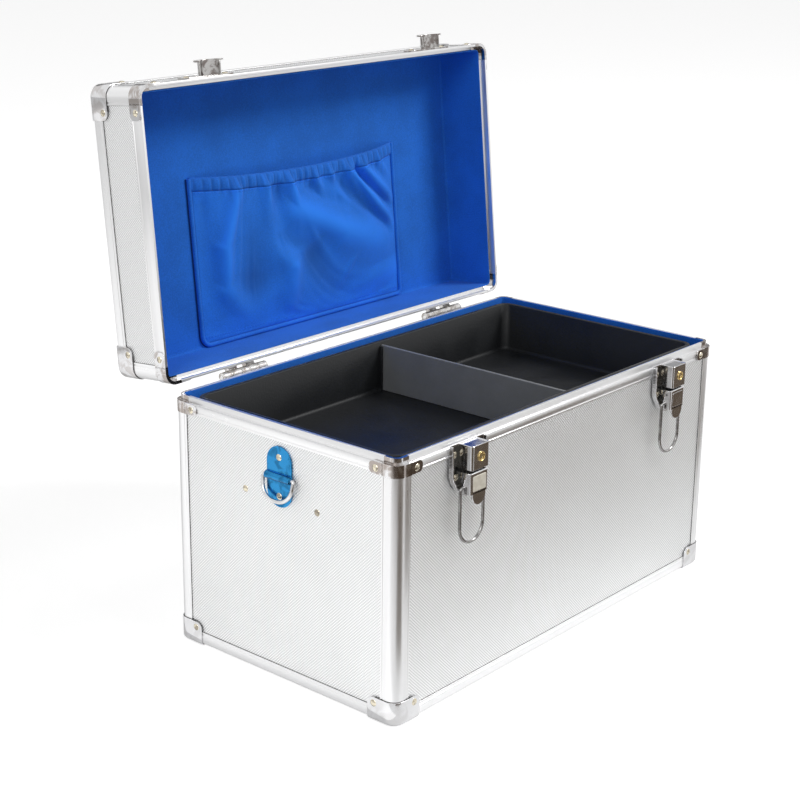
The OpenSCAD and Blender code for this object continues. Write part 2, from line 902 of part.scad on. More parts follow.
module lid_rivets() {
  color(chrome_colour)
    lid_pose() {
      corner_rivets(lid_top_z + cap_t - cap_rivet_z, cap_t);
      corner_rivets(lid_edge_z + lid_rim_h / 2, bracket_t);
      for (e = [-1, 1], x = [-1, 1])
        side_rivet(
          0, e * latch_x + x * (keeper_w / 2 - rivet_margin),
          keeper_base_z + keeper_h / 2, latch_t, rivet_r
        );
      for (e = [-1, 1], y = [-1, 1])
        translate([e * saddle_x(), y * saddle_rivet(), lid_board_top + saddle_t]) rivet_head(rivet_r);
      leaf_rivets(hinge_z + leaf_rivet_off);
    }
}

module lid_lining() {
  height = lid_ceiling_z + lining_t;
  color(lining_colour)
    lid_pose()
      translate([0, 0, height]) mirror([0, 0, 1]) cloth_shell(0, height - tongue_z - 0.6);
}

// Pocket: share u runs from -1 to 1 across, share v from 0 at the mouth to 1 at the foot

// Bulge of the cloth from the lining, without its folds
function swell(u, v) =
  (1 - pow(u, 4)) * (1 - pow(v, 2.2)) * (mouth_share + (1 - mouth_share) * 2.4 * v);

function fold(u, v) =
  fold_depth * (1 - pow(u, 6)) * pow(1 - v, 1.1) * cos(180 * pocket_folds * u + 60 * sin(150 * u + 40 * v));

function cloth_gap(u, v) =
  sew_gap + max(0, pocket_bulge * swell(u, v) + fold(u, v) * min(1, 3 * swell(u, v)));

// The mouth sags in its middle
function mouth_sag(u) = 6 * (1 - u * u);

// Cloth between two lines across the lid; lift carries v into the bulge, and the sag
// of the mouth fades by the given share towards the foot
module cloth_panel(y_from, y_to, cols, rows, thick, lift, fade) {
  us = [for (i = [0:cols]) -1 + 2 * i / cols];
  vs = [for (j = [0:rows]) j / rows];
  points = [
    for (side = [0, 1], v = vs, u = us)
      [u * pocket_w / 2,
       y_from + v * (y_to - y_from) + mouth_sag(u) * (1 - fade * v),
       lid_ceiling_z - cloth_gap(u, lift * v) - side * thick]
  ];
  row = cols + 1;
  sheet = row * (rows + 1);
  quads = [
    for (j = [0:rows - 1], i = [0:cols - 1])
      let (a = j * row + i)
      each [
        [a, a + row + 1, a + 1], [a, a + row, a + row + 1],
        [sheet + a, sheet + a + 1, sheet + a + row + 1],
        [sheet + a, sheet + a + row + 1, sheet + a + row]
      ]
  ];
  ends = [
    for (i = [0:cols - 1])
      let (a = i, b = rows * row + i)
      each [
        [a, a + 1, sheet + a + 1], [a, sheet + a + 1, sheet + a],
        [b, sheet + b + 1, b + 1], [b, sheet + b, sheet + b + 1]
      ]
  ];
  edges = [
    for (j = [0:rows - 1])
      let (a = j * row, b = j * row + cols)
      each [
        [a, sheet + a, sheet + a + row], [a, sheet + a + row, a + row],
        [b, sheet + b + row, sheet + b], [b, b + row, sheet + b + row]
      ]
  ];
  polyhedron(points, concat(quads, ends, edges), convexity = 6);
}

module lid_pocket() {
  color(lining_colour)
    lid_pose() cloth_panel(pocket_y0, pocket_y1, pocket_cols, pocket_rows, pocket_t, 1, 1);
}

module pocket_band() {
  color(band_colour)
    lid_pose()
      translate([0, 0, sew_gap - band_gap])
        cloth_panel(pocket_y0 - band_h, pocket_y0 - sew_gap, pocket_cols, 1, band_t, 0, 0);
}

// Keepers

module keeper(side) {
  color(chrome_colour)
    lid_pose()
      at_latch(side)
        union() {
          translate([0, 0, keeper_base_z + keeper_h / 2])
            outwards(latch_t) round_rect(keeper_w, keeper_h, 3);
          intersection() {
            union() {
              translate([0, -latch_t / 2, hood_z])
                outwards(keeper_out - latch_t)
                  difference() {
                    circle(r = hood_r);
                    circle(r = hood_r - latch_t);
                  }
              translate([0, latch_t - keeper_out, hood_z])
                outwards(latch_t) circle(r = hood_r + keeper_lip);
            }
            translate([-hood_r - keeper_lip, -keeper_out, keeper_cut_z])
              cube([2 * (hood_r + keeper_lip), keeper_out, hood_r + keeper_lip]);
          }
        }
}

// Handle

function saddle_x() = handle_w / 2 + saddle_gap + saddle_w / 2 + handle_wire_r;

function saddle_rivet() = saddle_len / 2 - 6;

module handle_brackets() {
  tunnel_r = handle_wire_r + pin_fit;
  color(chrome_colour)
    for (e = [-1, 1])
      lid_pose()
        translate([e * saddle_x(), 0, lid_board_top])
          difference() {
            union() {
              linear_extrude(saddle_t) round_rect(saddle_w, saddle_len, 4);
              along_x(saddle_w) saddle_outline(handle_pivot_up, tunnel_r);
            }
            along_x(saddle_w + 2) saddle_bore(handle_pivot_up, tunnel_r);
          }
}

// The folded handle points to the rear of the lid
module handle_frame() {
  lid_pose()
    translate([0, 0, lid_board_top + handle_pivot_up])
      rotate([handle_fold, 0, 0])
        children();
}

module handle_bail() {
  half = handle_w / 2;
  pin_len = saddle_gap + saddle_w + handle_wire_r;
  color(chrome_colour)
    handle_frame()
      union() {
        for (s = [-1, 1]) {
          translate([s * (half + pin_len / 2), 0, 0])
            rotate([0, 90, 0]) cylinder(h = pin_len, r = handle_wire_r, center = true);
          translate([s * half, 0, 0]) sphere(r = handle_wire_r);
          translate([s * half, 0, 0]) rotate([-90, 0, 0]) cylinder(h = handle_leg, r = handle_wire_r);
          translate([s * half, handle_leg, 0]) sphere(r = handle_wire_r);
        }
        translate([0, handle_leg, 0])
          rotate([0, 90, 0]) cylinder(h = handle_w, r = handle_wire_r, center = true);
      }
}

module handle_grip() {
  grip_len = handle_w - 2 * handle_wire_r - 2;
  color(tray_colour)
    handle_frame()
      translate([0, handle_leg, 0])
        rotate([0, 90, 0])
          difference() {
            cylinder(h = grip_len, r = grip_r, center = true);
            cylinder(h = grip_len + 2, r = handle_wire_r + pin_fit, center = true);
          }
}

// Tray

module tray() {
  edge_w = 2 * (tray_half_w + tray_edge);
  edge_d = 2 * (tray_half_d + tray_edge);
  color(tray_colour)
    union() {
      difference() {
        union() {
          translate([0, 0, tray_z])
            linear_extrude(tray_h) round_rect(2 * tray_half_w, 2 * tray_half_d, tray_r);
          translate([0, 0, tray_top_z - tray_t])
            linear_extrude(tray_t) round_rect(edge_w, edge_d, tray_r + tray_edge);
        }
        translate([0, 0, tray_z + tray_t])
          linear_extrude(tray_h)
            round_rect(2 * (tray_half_w - tray_t), 2 * (tray_half_d - tray_t), tray_r - tray_t);
      }
      for (sy = [-1, 1], sx = [-1, 1])
        translate([
          divider_x + sx * (divider_t / 2 + divider_fit + guide_t / 2) - guide_t / 2,
          sy * (tray_half_d - tray_t - guide_w / 2) - guide_w / 2,
          tray_z + tray_t / 2
        ])
          cube([guide_t, guide_w, tray_h - divider_sink - tray_t]);
    }
}

module tray_divider() {
  depth = 2 * (tray_half_d - tray_t - divider_fit);
  height = tray_h - tray_t - divider_sink - divider_fit;
  color(tray_colour)
    translate([divider_x - divider_t / 2, -depth / 2, tray_z + tray_t + divider_fit])
      cube([divider_t, depth, height]);
}

base_bottom_panel();
base_wall(0);  // base_front_panel
base_wall(1);  // base_right_panel
base_wall(2);  // base_rear_panel
base_wall(3);  // base_left_panel
base_post(-1, -1);  // base_post_front_left
base_post(1, -1);  // base_post_front_right
base_post(-1, 1);  // base_post_rear_left
base_post(1, 1);  // base_post_rear_right
base_foot_rails();
base_rim(0);  // base_rim_front
base_rim(1);  // base_rim_right
base_rim(2);  // base_rim_rear
base_rim(3);  // base_rim_left
base_corner_caps();
base_rim_corners();
base_rivets();
base_lining();
tray_supports();
latch_plate(-1);  // latch_plate_left
latch_plate(1);  // latch_plate_right
latch_pins();
strap_bracket(3);  // strap_bracket_left
strap_bracket(1);  // strap_bracket_right
hinge_leaf(-1, -1);  // hinge_base_leaf_left
hinge_leaf(1, -1);  // hinge_base_leaf_right
hinge_pins();
lid_top_panel();
lid_wall(0);  // lid_front_panel
lid_wall(1);  // lid_right_panel
lid_wall(2);  // lid_rear_panel
lid_wall(3);  // lid_left_panel
lid_posts();
lid_top_rails();
lid_rims();
lid_corner_caps();
lid_rim_corners();
lid_rivets();
lid_lining();
lid_pocket();
pocket_band();
keeper(-1);  // keeper_left
keeper(1);  // keeper_right
handle_brackets();
lid_pose() hinge_leaf(-1, 1);  // hinge_lid_leaf_left
lid_pose() hinge_leaf(1, 1);  // hinge_lid_leaf_right
handle_bail();
handle_grip();
latch_lever(-1);  // latch_lever_left
latch_lever(1);  // latch_lever_right
latch_bail(-1);  // latch_bail_left
latch_bail(1);  // latch_bail_right
lock_cylinder(-1);  // lock_cylinder_left
lock_cylinder(1);  // lock_cylinder_right
strap_ring(3);  // strap_ring_left
strap_ring(1);  // strap_ring_right
tray();
tray_divider();
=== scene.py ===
"""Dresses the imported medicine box: an aluminium-framed case whose open lid is lined with
blue cloth, with a divided tray, key latches, strap rings and a folding handle.

Sizes are in millimetres until a piece is added to the scene. The lid's pieces are drawn
closed and then turned open about the hinge."""

import json
from math import asin, cos, exp, pi, radians, sin

import bmesh
import bpy
from bpy.props import FloatProperty, FloatVectorProperty, IntProperty, PointerProperty
from mathutils import Matrix, Vector


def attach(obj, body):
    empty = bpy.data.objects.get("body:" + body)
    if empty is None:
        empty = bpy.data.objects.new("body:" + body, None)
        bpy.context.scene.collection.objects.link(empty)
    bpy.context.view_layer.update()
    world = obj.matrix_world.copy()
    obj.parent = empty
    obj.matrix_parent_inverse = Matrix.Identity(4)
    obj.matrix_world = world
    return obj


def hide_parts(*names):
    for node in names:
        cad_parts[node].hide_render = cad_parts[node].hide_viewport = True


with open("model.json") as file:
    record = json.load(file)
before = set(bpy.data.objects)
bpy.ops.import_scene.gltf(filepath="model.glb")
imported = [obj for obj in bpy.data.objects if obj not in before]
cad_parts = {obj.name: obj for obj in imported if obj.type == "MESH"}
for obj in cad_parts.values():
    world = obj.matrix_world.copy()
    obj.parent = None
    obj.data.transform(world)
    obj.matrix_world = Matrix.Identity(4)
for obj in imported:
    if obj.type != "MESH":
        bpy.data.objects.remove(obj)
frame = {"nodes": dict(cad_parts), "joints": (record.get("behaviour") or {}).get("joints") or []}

bl_info = {
    "name": "Medicine Box",
    "version": (1, 0, 0),
    "blender": (4, 5, 0),
    "location": "View3D > Sidebar > Medicine Box",
    "description": "Builds the finished pieces of a medicine box around its packed frame",
    "category": "Object",
}

MM = 0.001
SIDES = range(4)  # front, right, rear, left
ENDS = (-1, 1)
HANDS = ((-1, "left"), (1, "right"))


# Sizes read from the frame


def joint(name):
    return next(j for j in frame["joints"] if j["name"] == name)


def joint_place(name):
    return Vector(joint(name)["pos_m"]) / MM


HINGE = joint_place("lid_hinge")
LID_OPEN = radians(joint("lid_hinge")["range_deg"][1])
BASE = Matrix.Identity(4)
LID = Matrix.Translation(HINGE) @ Matrix.Rotation(-LID_OPEN, 4, "X") @ Matrix.Translation(-HINGE)
MIRROR_Y = Matrix.Diagonal((1, -1, 1, 1))
MIRROR_Z = Matrix.Diagonal((1, 1, -1, 1))
# Turns a drawing (x, height) with its depth along z to stand on a face, depth outwards
FACING_OUT = Matrix.Rotation(pi / 2, 4, "X")


def node_box(node, place=BASE):
    """Lowest and highest corner of a CAD node in millimetres, before it was put in place."""
    back = place.inverted()
    points = [back @ (v.co / MM) for v in frame["nodes"][node].data.vertices]
    low = Vector([min(p[i] for p in points) for i in range(3)])
    high = Vector([max(p[i] for p in points) for i in range(3)])
    return low, high


RAIL_LOW, RAIL_HIGH = node_box("base_foot_rails")
CASE_W = RAIL_HIGH.x - RAIL_LOW.x
CASE_D = RAIL_HIGH.y - RAIL_LOW.y
FOOT, SHOULDER = (corner.z for corner in node_box("base_post_front_left"))
RIM_LOW, RIM_HIGH = node_box("base_rim_front")
COLLAR_LOW = node_box("base_rim_corners")[0].z
LID_EDGE, LID_BAND_TOP = (corner.z for corner in node_box("lid_rims", LID))
LID_POST_Z, LID_TOP = (corner.z for corner in node_box("lid_posts", LID))
TOP_RAIL_Z = node_box("lid_top_rails", LID)[0].z
CAP_LOW, CAP_HIGH = node_box("base_corner_caps")
LINING_LOW, LINING_HIGH = node_box("base_lining")
LID_LINING_LOW, LID_LINING_HIGH = node_box("lid_lining", LID)
PLATE_LOW, PLATE_HIGH = node_box("latch_plate_left")
LEVER_LOW, LEVER_HIGH = node_box("latch_lever_left")
LOCK_LOW, LOCK_HIGH = node_box("lock_cylinder_left")
KEEPER_LOW, KEEPER_HIGH = node_box("keeper_left", LID)
LEAF_LOW, LEAF_HIGH = node_box("hinge_base_leaf_right")
STRAP_LOW, STRAP_HIGH = node_box("strap_bracket_left")
TRAY_LOW, TRAY_HIGH = node_box("tray")
DIVIDER_LOW, DIVIDER_HIGH = node_box("tray_divider")
POCKET_HIGH = node_box("lid_pocket", LID)[1]
BAND_HIGH = node_box("pocket_band", LID)[1]
SADDLE_LOW, SADDLE_HIGH = node_box("handle_brackets", LID)

# Sheets, bends and fits, as on the CAD pieces

SKIN = 0.8
WALL = 4.8
WEB = 1.4
POST_R = 9.0
POST_LEG = 14.5
RAIL_LEG = POST_LEG - 0.5
JOINT_FIT = 0.1
TONGUE_SET = 2.4
LID_BAND_T = 2.0
CAP_T = 1.0
CAP_LEG = 26.0
CAP_H = CAP_HIGH.z - CAP_LOW.z
CAP_RIVET_Z = CAP_H * 0.76
BRACKET_T = 0.7
BRACKET_LEG = 26.0
CORNER_RIVET_IN = 20.0
RIVET_R = 2.0
RIVET_H = 1.1
LATCH_T = 1.2
LATCH_LIP = 4.2
LATCH_X = (PLATE_HIGH.x + PLATE_LOW.x) / -2
LATCH_W = PLATE_HIGH.x - PLATE_LOW.x
LATCH_TOP = PLATE_HIGH.z
LATCH_TAPER_Z = LATCH_TOP - 25
COVER_W = LEVER_HIGH.x - LEVER_LOW.x
COVER_OUT = -CASE_D / 2 - PLATE_LOW.y
COVER_LOW = LATCH_TOP - 18.4
LEVER_SIDE_LOW = joint_place("bail_left_swing").z - 4.5
STRAP_T = 1.4
STRAP_Z = (STRAP_LOW.z + STRAP_HIGH.z) / 2
TUNNEL_WALL = 1.5
HINGE_W = 48.0
HINGE_X = (LEAF_LOW.x + LEAF_HIGH.x) / 2
LEAF_T = 1.5
LINING_T = 1.0
TRAY_T = 2.0
TIGHT = 0.001  # distance under which two points are one


# Placement


def on_side(side):
    """Middle of an outer face: x runs along it and y points into the case."""
    off = CASE_D / 2 if side % 2 == 0 else CASE_W / 2
    return Matrix.Rotation(side * pi / 2, 4, "Z") @ Matrix.Translation((0, -off, 0))


def side_length(side):
    return CASE_W if side % 2 == 0 else CASE_D


def at_corner(sx, sy):
    """Outer corner at the origin, with both legs pointing into the case."""
    mirror = Matrix.Diagonal((-sx, -sy, 1, 1))
    return Matrix.Translation((sx * CASE_W / 2, sy * CASE_D / 2, 0)) @ mirror


def corners():
    return [at_corner(sx, sy) for sx in ENDS for sy in ENDS]


def at_each_corner(stand, make, *given):
    """Pairs of a new part and its place for the four corners."""
    return [(make(*given), stand @ corner) for corner in corners()]


def along_x(length=0):
    """Turns a drawing (depth, height) that was pulled along z to run along x about the middle."""
    turn = Matrix(((0, 0, 1, 0), (1, 0, 0, 0), (0, 1, 0, 0), (0, 0, 0, 1)))
    return turn @ Matrix.Translation((0, 0, -length / 2))


def ahead(y):
    """Distance of a depth y in front of the case."""
    return -CASE_D / 2 - y


def shift(x=0, y=0, z=0):
    return Matrix.Translation((x, y, z))


# Shapes


def bevel(bm, geom, radius, steps, affect="VERTICES", clamp=False):
    bmesh.ops.bevel(
        bm, geom=geom, offset=radius, offset_type="OFFSET", segments=steps,
        profile=0.5, affect=affect, clamp_overlap=clamp, material=-1,
    )


def round_corners(bm, verts, points, steps, size=2):
    """Rounds each vertex whose point gives a radius after its coordinates."""
    for vert, point in zip(verts, points):
        if len(point) > size:
            bevel(bm, [vert], point[size], steps)


def chain(bm, points, cyclic=False):
    """Line or ring of edges through points: its vertices and its edges."""
    verts = [bm.verts.new(point) for point in points]
    following = verts[1:] + (verts[:1] if cyclic else [])
    return verts, [bm.edges.new(pair) for pair in zip(verts, following)]


def move_new(bm, grown, vec):
    """Moves the vertices that an extrusion has made."""
    verts = [g for g in grown["geom"] if isinstance(g, bmesh.types.BMVert)]
    bmesh.ops.translate(bm, verts=verts, vec=vec)


def push(bm, faces, vec):
    """Extrudes faces by a vector."""
    move_new(bm, bmesh.ops.extrude_face_region(bm, geom=faces), vec)


def merge(bm, distance=TIGHT):
    """Merges doubled vertices and turns the normals outwards again."""
    bmesh.ops.remove_doubles(bm, verts=bm.verts[:], dist=distance)
    bmesh.ops.recalc_face_normals(bm, faces=bm.faces[:])
    return bm


def outline_face(corners, steps=6):
    """New mesh with one face through corners (x, y), or (x, y, radius) where one is rounded."""
    bm = bmesh.new()
    verts = [bm.verts.new((*corner[:2], 0)) for corner in corners]
    bm.faces.new(verts)
    round_corners(bm, verts, corners, steps)
    return bm


def pull(bm, depth):
    """Pulls the faces of a flat mesh along z into a solid."""
    push(bm, bm.faces[:], (0, 0, depth))
    bmesh.ops.recalc_face_normals(bm, faces=bm.faces[:])
    return bm


def soften(bm, radius, steps=2, limit=40):
    """Rounds the edges that bend by more than a limit in degrees."""
    sharp = [e for e in bm.edges if e.is_manifold and e.calc_face_angle() > radians(limit)]
    bevel(bm, sharp, radius, steps, "EDGES", clamp=True)
    return bm


def plate(corners, depth, soft, steps=6):
    return soften(pull(outline_face(corners, steps), depth), soft)


def rectangle(width, height, radius):
    w, h = width / 2, height / 2
    return [(-w, -h, radius), (w, -h, radius), (w, h, radius), (-w, h, radius)]


def point_out(bm, inside):
    """Makes the normals of an open sheet point away from a place inside it."""
    bm.normal_update()
    away = sum(f.normal.dot(f.calc_center_median() - inside) * f.calc_area() for f in bm.faces)
    if away < 0:
        bmesh.ops.reverse_faces(bm, faces=bm.faces[:])


def bent_sheet(points, length, thickness, inside, steps, soft=0.15):
    """Sheet pulled along z from an open line of points (x, y), or (x, y, radius) at a bend."""
    bm = bmesh.new()
    verts = chain(bm, [(*point[:2], 0) for point in points])[0]
    round_corners(bm, verts, points, steps)
    move_new(bm, bmesh.ops.extrude_edge_only(bm, edges=bm.edges[:]), (0, 0, length))
    bmesh.ops.recalc_face_normals(bm, faces=bm.faces[:])
    point_out(bm, Vector((*inside, length / 2)))
    bmesh.ops.solidify(bm, geom=bm.faces[:], thickness=thickness)
    return soften(bm, soft, 1, 60)


def disc(radius, segments):
    bm = bmesh.new()
    bmesh.ops.create_circle(bm, cap_ends=True, segments=segments, radius=radius)
    return bm


def place_mesh(name, bm):
    """Puts a mesh into the scene as a new object."""
    mesh = bpy.data.meshes.new(name)
    bm.to_mesh(mesh)
    bm.free()
    item = bpy.data.objects.new(name, mesh)
    bpy.context.scene.collection.objects.link(item)
    return item


def wire(points, radius, cyclic=False, steps=10):
    """Round wire along points (x, y, z), or (x, y, z, radius) where it bends."""
    path = bmesh.new()
    verts = chain(path, [point[:3] for point in points], cyclic)[0]
    round_corners(path, verts, points, steps, 3)
    line = place_mesh("wire_line", path)
    bpy.ops.object.select_all(action="DESELECT")
    bpy.context.view_layer.objects.active = line
    line.select_set(True)
    bpy.ops.object.convert(target="CURVE")
    line.data.bevel_depth = radius
    line.data.bevel_resolution = 3
    line.data.use_fill_caps = not cyclic
    bpy.ops.object.convert(target="MESH")
    bm = bmesh.new()
    bm.from_mesh(line.data)
    bpy.data.objects.remove(line)
    return merge(bm, radius * 0.01)


def gather(parts):
    """One mesh from pairs of a mesh and its place."""
    whole = bmesh.new()
    for part, place in parts:
        scratch = bpy.data.meshes.new("scratch")
        part.to_mesh(scratch)
        scratch.transform(place)
        if place.determinant() < 0:
            scratch.flip_normals()
        whole.from_mesh(scratch)
        bpy.data.meshes.remove(scratch)
    return whole


def ring_loop(bm, half_w, half_d, radius, z, steps):
    """Loop of edges round a rectangle with rounded corners."""
    flat = outline_face(rectangle(2 * half_w, 2 * half_d, radius), steps)
    points = [(v.co.x, v.co.y, z) for v in flat.faces[:][0].verts]
    flat.free()
    return chain(bm, points, True)[1]


def ring_shell(levels, steps=6):
    """Closed shell through rounded rectangles (half width, half depth, radius, z)."""
    bm = bmesh.new()
    loops = [ring_loop(bm, *level, steps) for level in levels]
    for pair in zip(loops, loops[1:]):
        bmesh.ops.bridge_loops(bm, edges=pair[0] + pair[1])
    for loop in (loops[0], loops[-1]):
        bmesh.ops.edgeloop_fill(bm, edges=loop)
    bmesh.ops.recalc_face_normals(bm, faces=bm.faces[:])
    return bm


def add_piece(name, parts, body, finish, stands_for=(), smooth=20):
    """Puts parts, pairs of a mesh and its place, into the scene as a piece that rides on a body."""
    bm = gather(parts)
    bm.transform(Matrix.Scale(MM, 4))
    piece = place_mesh(name, bm)
    piece.data.shade_smooth()
    piece.data.set_sharp_from_angle(angle=radians(smooth))
    piece.data.materials.append(finish)
    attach(piece, body)
    if stands_for:
        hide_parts(*stands_for)
    return piece


def finish_node(name, finish):
    """Gives a CAD node that stays in view its finish."""
    materials = frame["nodes"][name].data.materials
    for index in range(len(materials)):
        materials[index] = finish


# Shader nodes


def connect(tree, value, socket):
    if isinstance(value, bpy.types.NodeSocket):
        tree.links.new(value, socket)
    else:
        socket.default_value = value


def set_inputs(tree, node, values):
    for key, value in values.items():
        connect(tree, value, node.inputs[key])


def add_node(tree, kind, inputs=None, **settings):
    node = tree.nodes.new(kind)
    for key, value in settings.items():
        setattr(node, key, value)
    set_inputs(tree, node, inputs or {})
    return node


def maths(tree, operation, a, b=0.0, c=0.0):
    node = add_node(tree, "ShaderNodeMath", operation=operation)
    for socket, value in zip(node.inputs, (a, b, c)):
        connect(tree, value, socket)
    return node.outputs[0]


def ramp(tree, value, low, high, out_low=0.0, out_high=1.0):
    """Takes a value between low and high smoothly to another pair."""
    node = add_node(
        tree, "ShaderNodeMapRange",
        {"Value": value, "From Min": low, "From Max": high, "To Min": out_low, "To Max": out_high},
        interpolation_type="SMOOTHSTEP",
    )
    return node.outputs["Result"]


def mix_colours(tree, share, first, second):
    """Mixes two colours; the numbers are the sockets of the node's colour mode."""
    node = add_node(tree, "ShaderNodeMix", {0: share, 6: first, 7: second}, data_type="RGBA")
    return node.outputs[2]


def noise(tree, vector, scale, detail=2.0, roughness=0.5, distortion=0.0):
    node = add_node(tree, "ShaderNodeTexNoise", {
        "Vector": vector, "Scale": scale, "Detail": detail, "Roughness": roughness, "Distortion": distortion,
    })
    return node.outputs[0]


def split(tree, vector):
    """The x, y and z of a vector."""
    return add_node(tree, "ShaderNodeSeparateXYZ", {0: vector}).outputs


def group_tree(name, given, results):
    """New node group, where a given value of None is a vector: its tree, its inputs and its results."""
    tree = bpy.data.node_groups.new(name, "ShaderNodeTree")
    for label, value in given.items():
        kind = "NodeSocketVector" if value is None else "NodeSocketFloat"
        socket = tree.interface.new_socket(label, in_out="INPUT", socket_type=kind)
        if value is not None:
            socket.default_value = value
    for label in results:
        tree.interface.new_socket(label, in_out="OUTPUT", socket_type="NodeSocketFloat")
    return tree, tree.nodes.new("NodeGroupInput").outputs, tree.nodes.new("NodeGroupOutput").inputs


def diamond_emboss():
    """Rows of small raised diamonds on the boards, in the plane of x and y of its vector."""
    tree, given, out = group_tree("Diamond emboss", {"Vector": None, "Pitch": 0.002}, ("Height", "Shade"))
    parts = split(tree, given["Vector"])
    waves = []
    for operation in ("ADD", "SUBTRACT"):
        run = maths(tree, operation, parts[0], parts[1])
        turns = maths(tree, "DIVIDE", run, given["Pitch"])
        wave = maths(tree, "SINE", maths(tree, "MULTIPLY", turns, 2 * pi * 0.7071))
        waves.append(maths(tree, "MULTIPLY_ADD", wave, 0.5, 0.5))
    crossing = maths(tree, "MULTIPLY", waves[0], waves[1])
    rib = maths(tree, "MULTIPLY", waves[0], 0.5)
    height = maths(tree, "ADD", crossing, rib)
    connect(tree, height, out["Height"])
    connect(tree, ramp(tree, height, 0.1, 1.1), out["Shade"])
    return tree


def drawn_lines():
    """Fine lines that drawing leaves along x of its vector."""
    tree, given, out = group_tree("Drawn lines", {"Vector": None, "Lines": 900.0}, ("Lines", "Bands"))
    for label, share, detail in (("Lines", 1.0, 2.0), ("Bands", 0.12, 1.0)):
        count = maths(tree, "MULTIPLY", given["Lines"], share)
        slow = maths(tree, "MULTIPLY", count, 0.008)
        scale = add_node(tree, "ShaderNodeCombineXYZ", {0: slow, 1: count, 2: count})
        stretched = add_node(
            tree, "ShaderNodeVectorMath", {0: given["Vector"], 1: scale.outputs[0]}, operation="MULTIPLY",
        )
        streaks = noise(tree, stretched.outputs[0], 1.0, detail)
        connect(tree, ramp(tree, streaks, 0.3, 0.7), out[label])
    return tree


def handling_marks():
    """Cloudy smudges with a few finer specks, from 0 where clean to 1."""
    tree, given, out = group_tree("Handling marks", {"Vector": None, "Size": 0.03}, ("Marks",))
    scale = maths(tree, "DIVIDE", 1.0, given["Size"])
    cloudy = ramp(tree, noise(tree, given["Vector"], scale, 4.0, 0.6), 0.35, 0.7)
    specks = noise(tree, given["Vector"], maths(tree, "MULTIPLY", scale, 9.0))
    both = maths(tree, "MULTIPLY_ADD", ramp(tree, specks, 0.62, 0.75), 0.35, cloudy)
    connect(tree, maths(tree, "MINIMUM", both, 1.0), out["Marks"])
    return tree


def edge_wear_and_highlight():
    """Mask of the edges, from 0 on the flats to 1 on the edges; finishes lighten them as wear and, on the blue
    plates, as a painted highlight.
    """
    tree, given, out = group_tree("Edge wear and highlight", {"Radius": 0.0006}, ("Edge",))
    rounded = add_node(tree, "ShaderNodeBevel", {"Radius": given["Radius"]}, samples=4)
    plain = add_node(tree, "ShaderNodeNewGeometry")
    agree = add_node(
        tree, "ShaderNodeVectorMath", {0: rounded.outputs[0], 1: plain.outputs["Normal"]},
        operation="DOT_PRODUCT",
    )
    connect(tree, ramp(tree, agree.outputs["Value"], 0.995, 0.93), out["Edge"])
    return tree


def moulded_grain():
    """Fine pebbled grain of moulded plastic."""
    tree, given, out = group_tree("Moulded grain", {"Vector": None, "Grain": 0.0012}, ("Height",))
    scale = maths(tree, "DIVIDE", 1.0, given["Grain"])
    cells = add_node(
        tree, "ShaderNodeTexVoronoi", {"Vector": given["Vector"], "Scale": scale}, feature="SMOOTH_F1",
    )
    fine = noise(tree, given["Vector"], maths(tree, "MULTIPLY", scale, 2.5))
    connect(tree, maths(tree, "MULTIPLY_ADD", fine, 0.5, cells.outputs["Distance"]), out["Height"])
    return tree


def brushed_knit():
    """Loops of a fine knit in the plane of x and y, blurred by a short nap."""
    tree, given, out = group_tree("Brushed knit", {"Vector": None, "Loop": 0.0009}, ("Height", "Tone"))
    parts = split(tree, given["Vector"])
    waves = []
    for index, stretch in ((0, 1.0), (1, 0.7)):
        turns = maths(tree, "DIVIDE", parts[index], given["Loop"])
        waves.append(maths(tree, "SINE", maths(tree, "MULTIPLY", turns, 2 * pi * stretch)))
    loops = maths(tree, "MULTIPLY", waves[0], waves[1])
    nap = noise(tree, given["Vector"], 900.0, 3.0)
    clouds = noise(tree, given["Vector"], 28.0, 3.0)
    tone = maths(tree, "MULTIPLY_ADD", nap, 0.5, maths(tree, "MULTIPLY", clouds, 0.5))
    connect(tree, maths(tree, "MULTIPLY_ADD", loops, 0.35, nap), out["Height"])
    connect(tree, ramp(tree, tone, 0.35, 0.65), out["Tone"])
    return tree


GROUP_MAKERS = {
    "Diamond emboss": diamond_emboss,
    "Drawn lines": drawn_lines,
    "Handling marks": handling_marks,
    "Edge wear and highlight": edge_wear_and_highlight,
    "Moulded grain": moulded_grain,
    "Brushed knit": brushed_knit,
}


def group_node(tree, name, **inputs):
    """Places a shared effect in a material; it is built the first time."""
    shared = bpy.data.node_groups.get(name) or GROUP_MAKERS[name]()
    return add_node(tree, "ShaderNodeGroup", inputs, node_tree=shared)


# Finishes


def box_settings():
    return bpy.context.scene.medicine_box


def start_finish(name, lid, turn=(0, 0, 0)):
    """New material: its tree, its shader and object coordinates, turned back for a lid piece."""
    material = bpy.data.materials.new(name)
    material.use_nodes = True
    tree = material.node_tree
    vector = add_node(tree, "ShaderNodeTexCoord").outputs["Object"]
    for rotation in ((LID_OPEN if lid else 0, 0, 0), turn):
        if any(rotation):
            vector = add_node(tree, "ShaderNodeMapping", {"Vector": vector, "Rotation": rotation}).outputs[0]
    return material, tree, tree.nodes["Principled BSDF"], vector


def add_bump(tree, shader, height, strength, distance):
    bump = add_node(tree, "ShaderNodeBump", {"Height": height, "Strength": strength, "Distance": distance})
    tree.links.new(bump.outputs[0], shader.inputs["Normal"])


def shade(colour, factor=1):
    return tuple(c * factor for c in colour[:3]) + (1.0,)


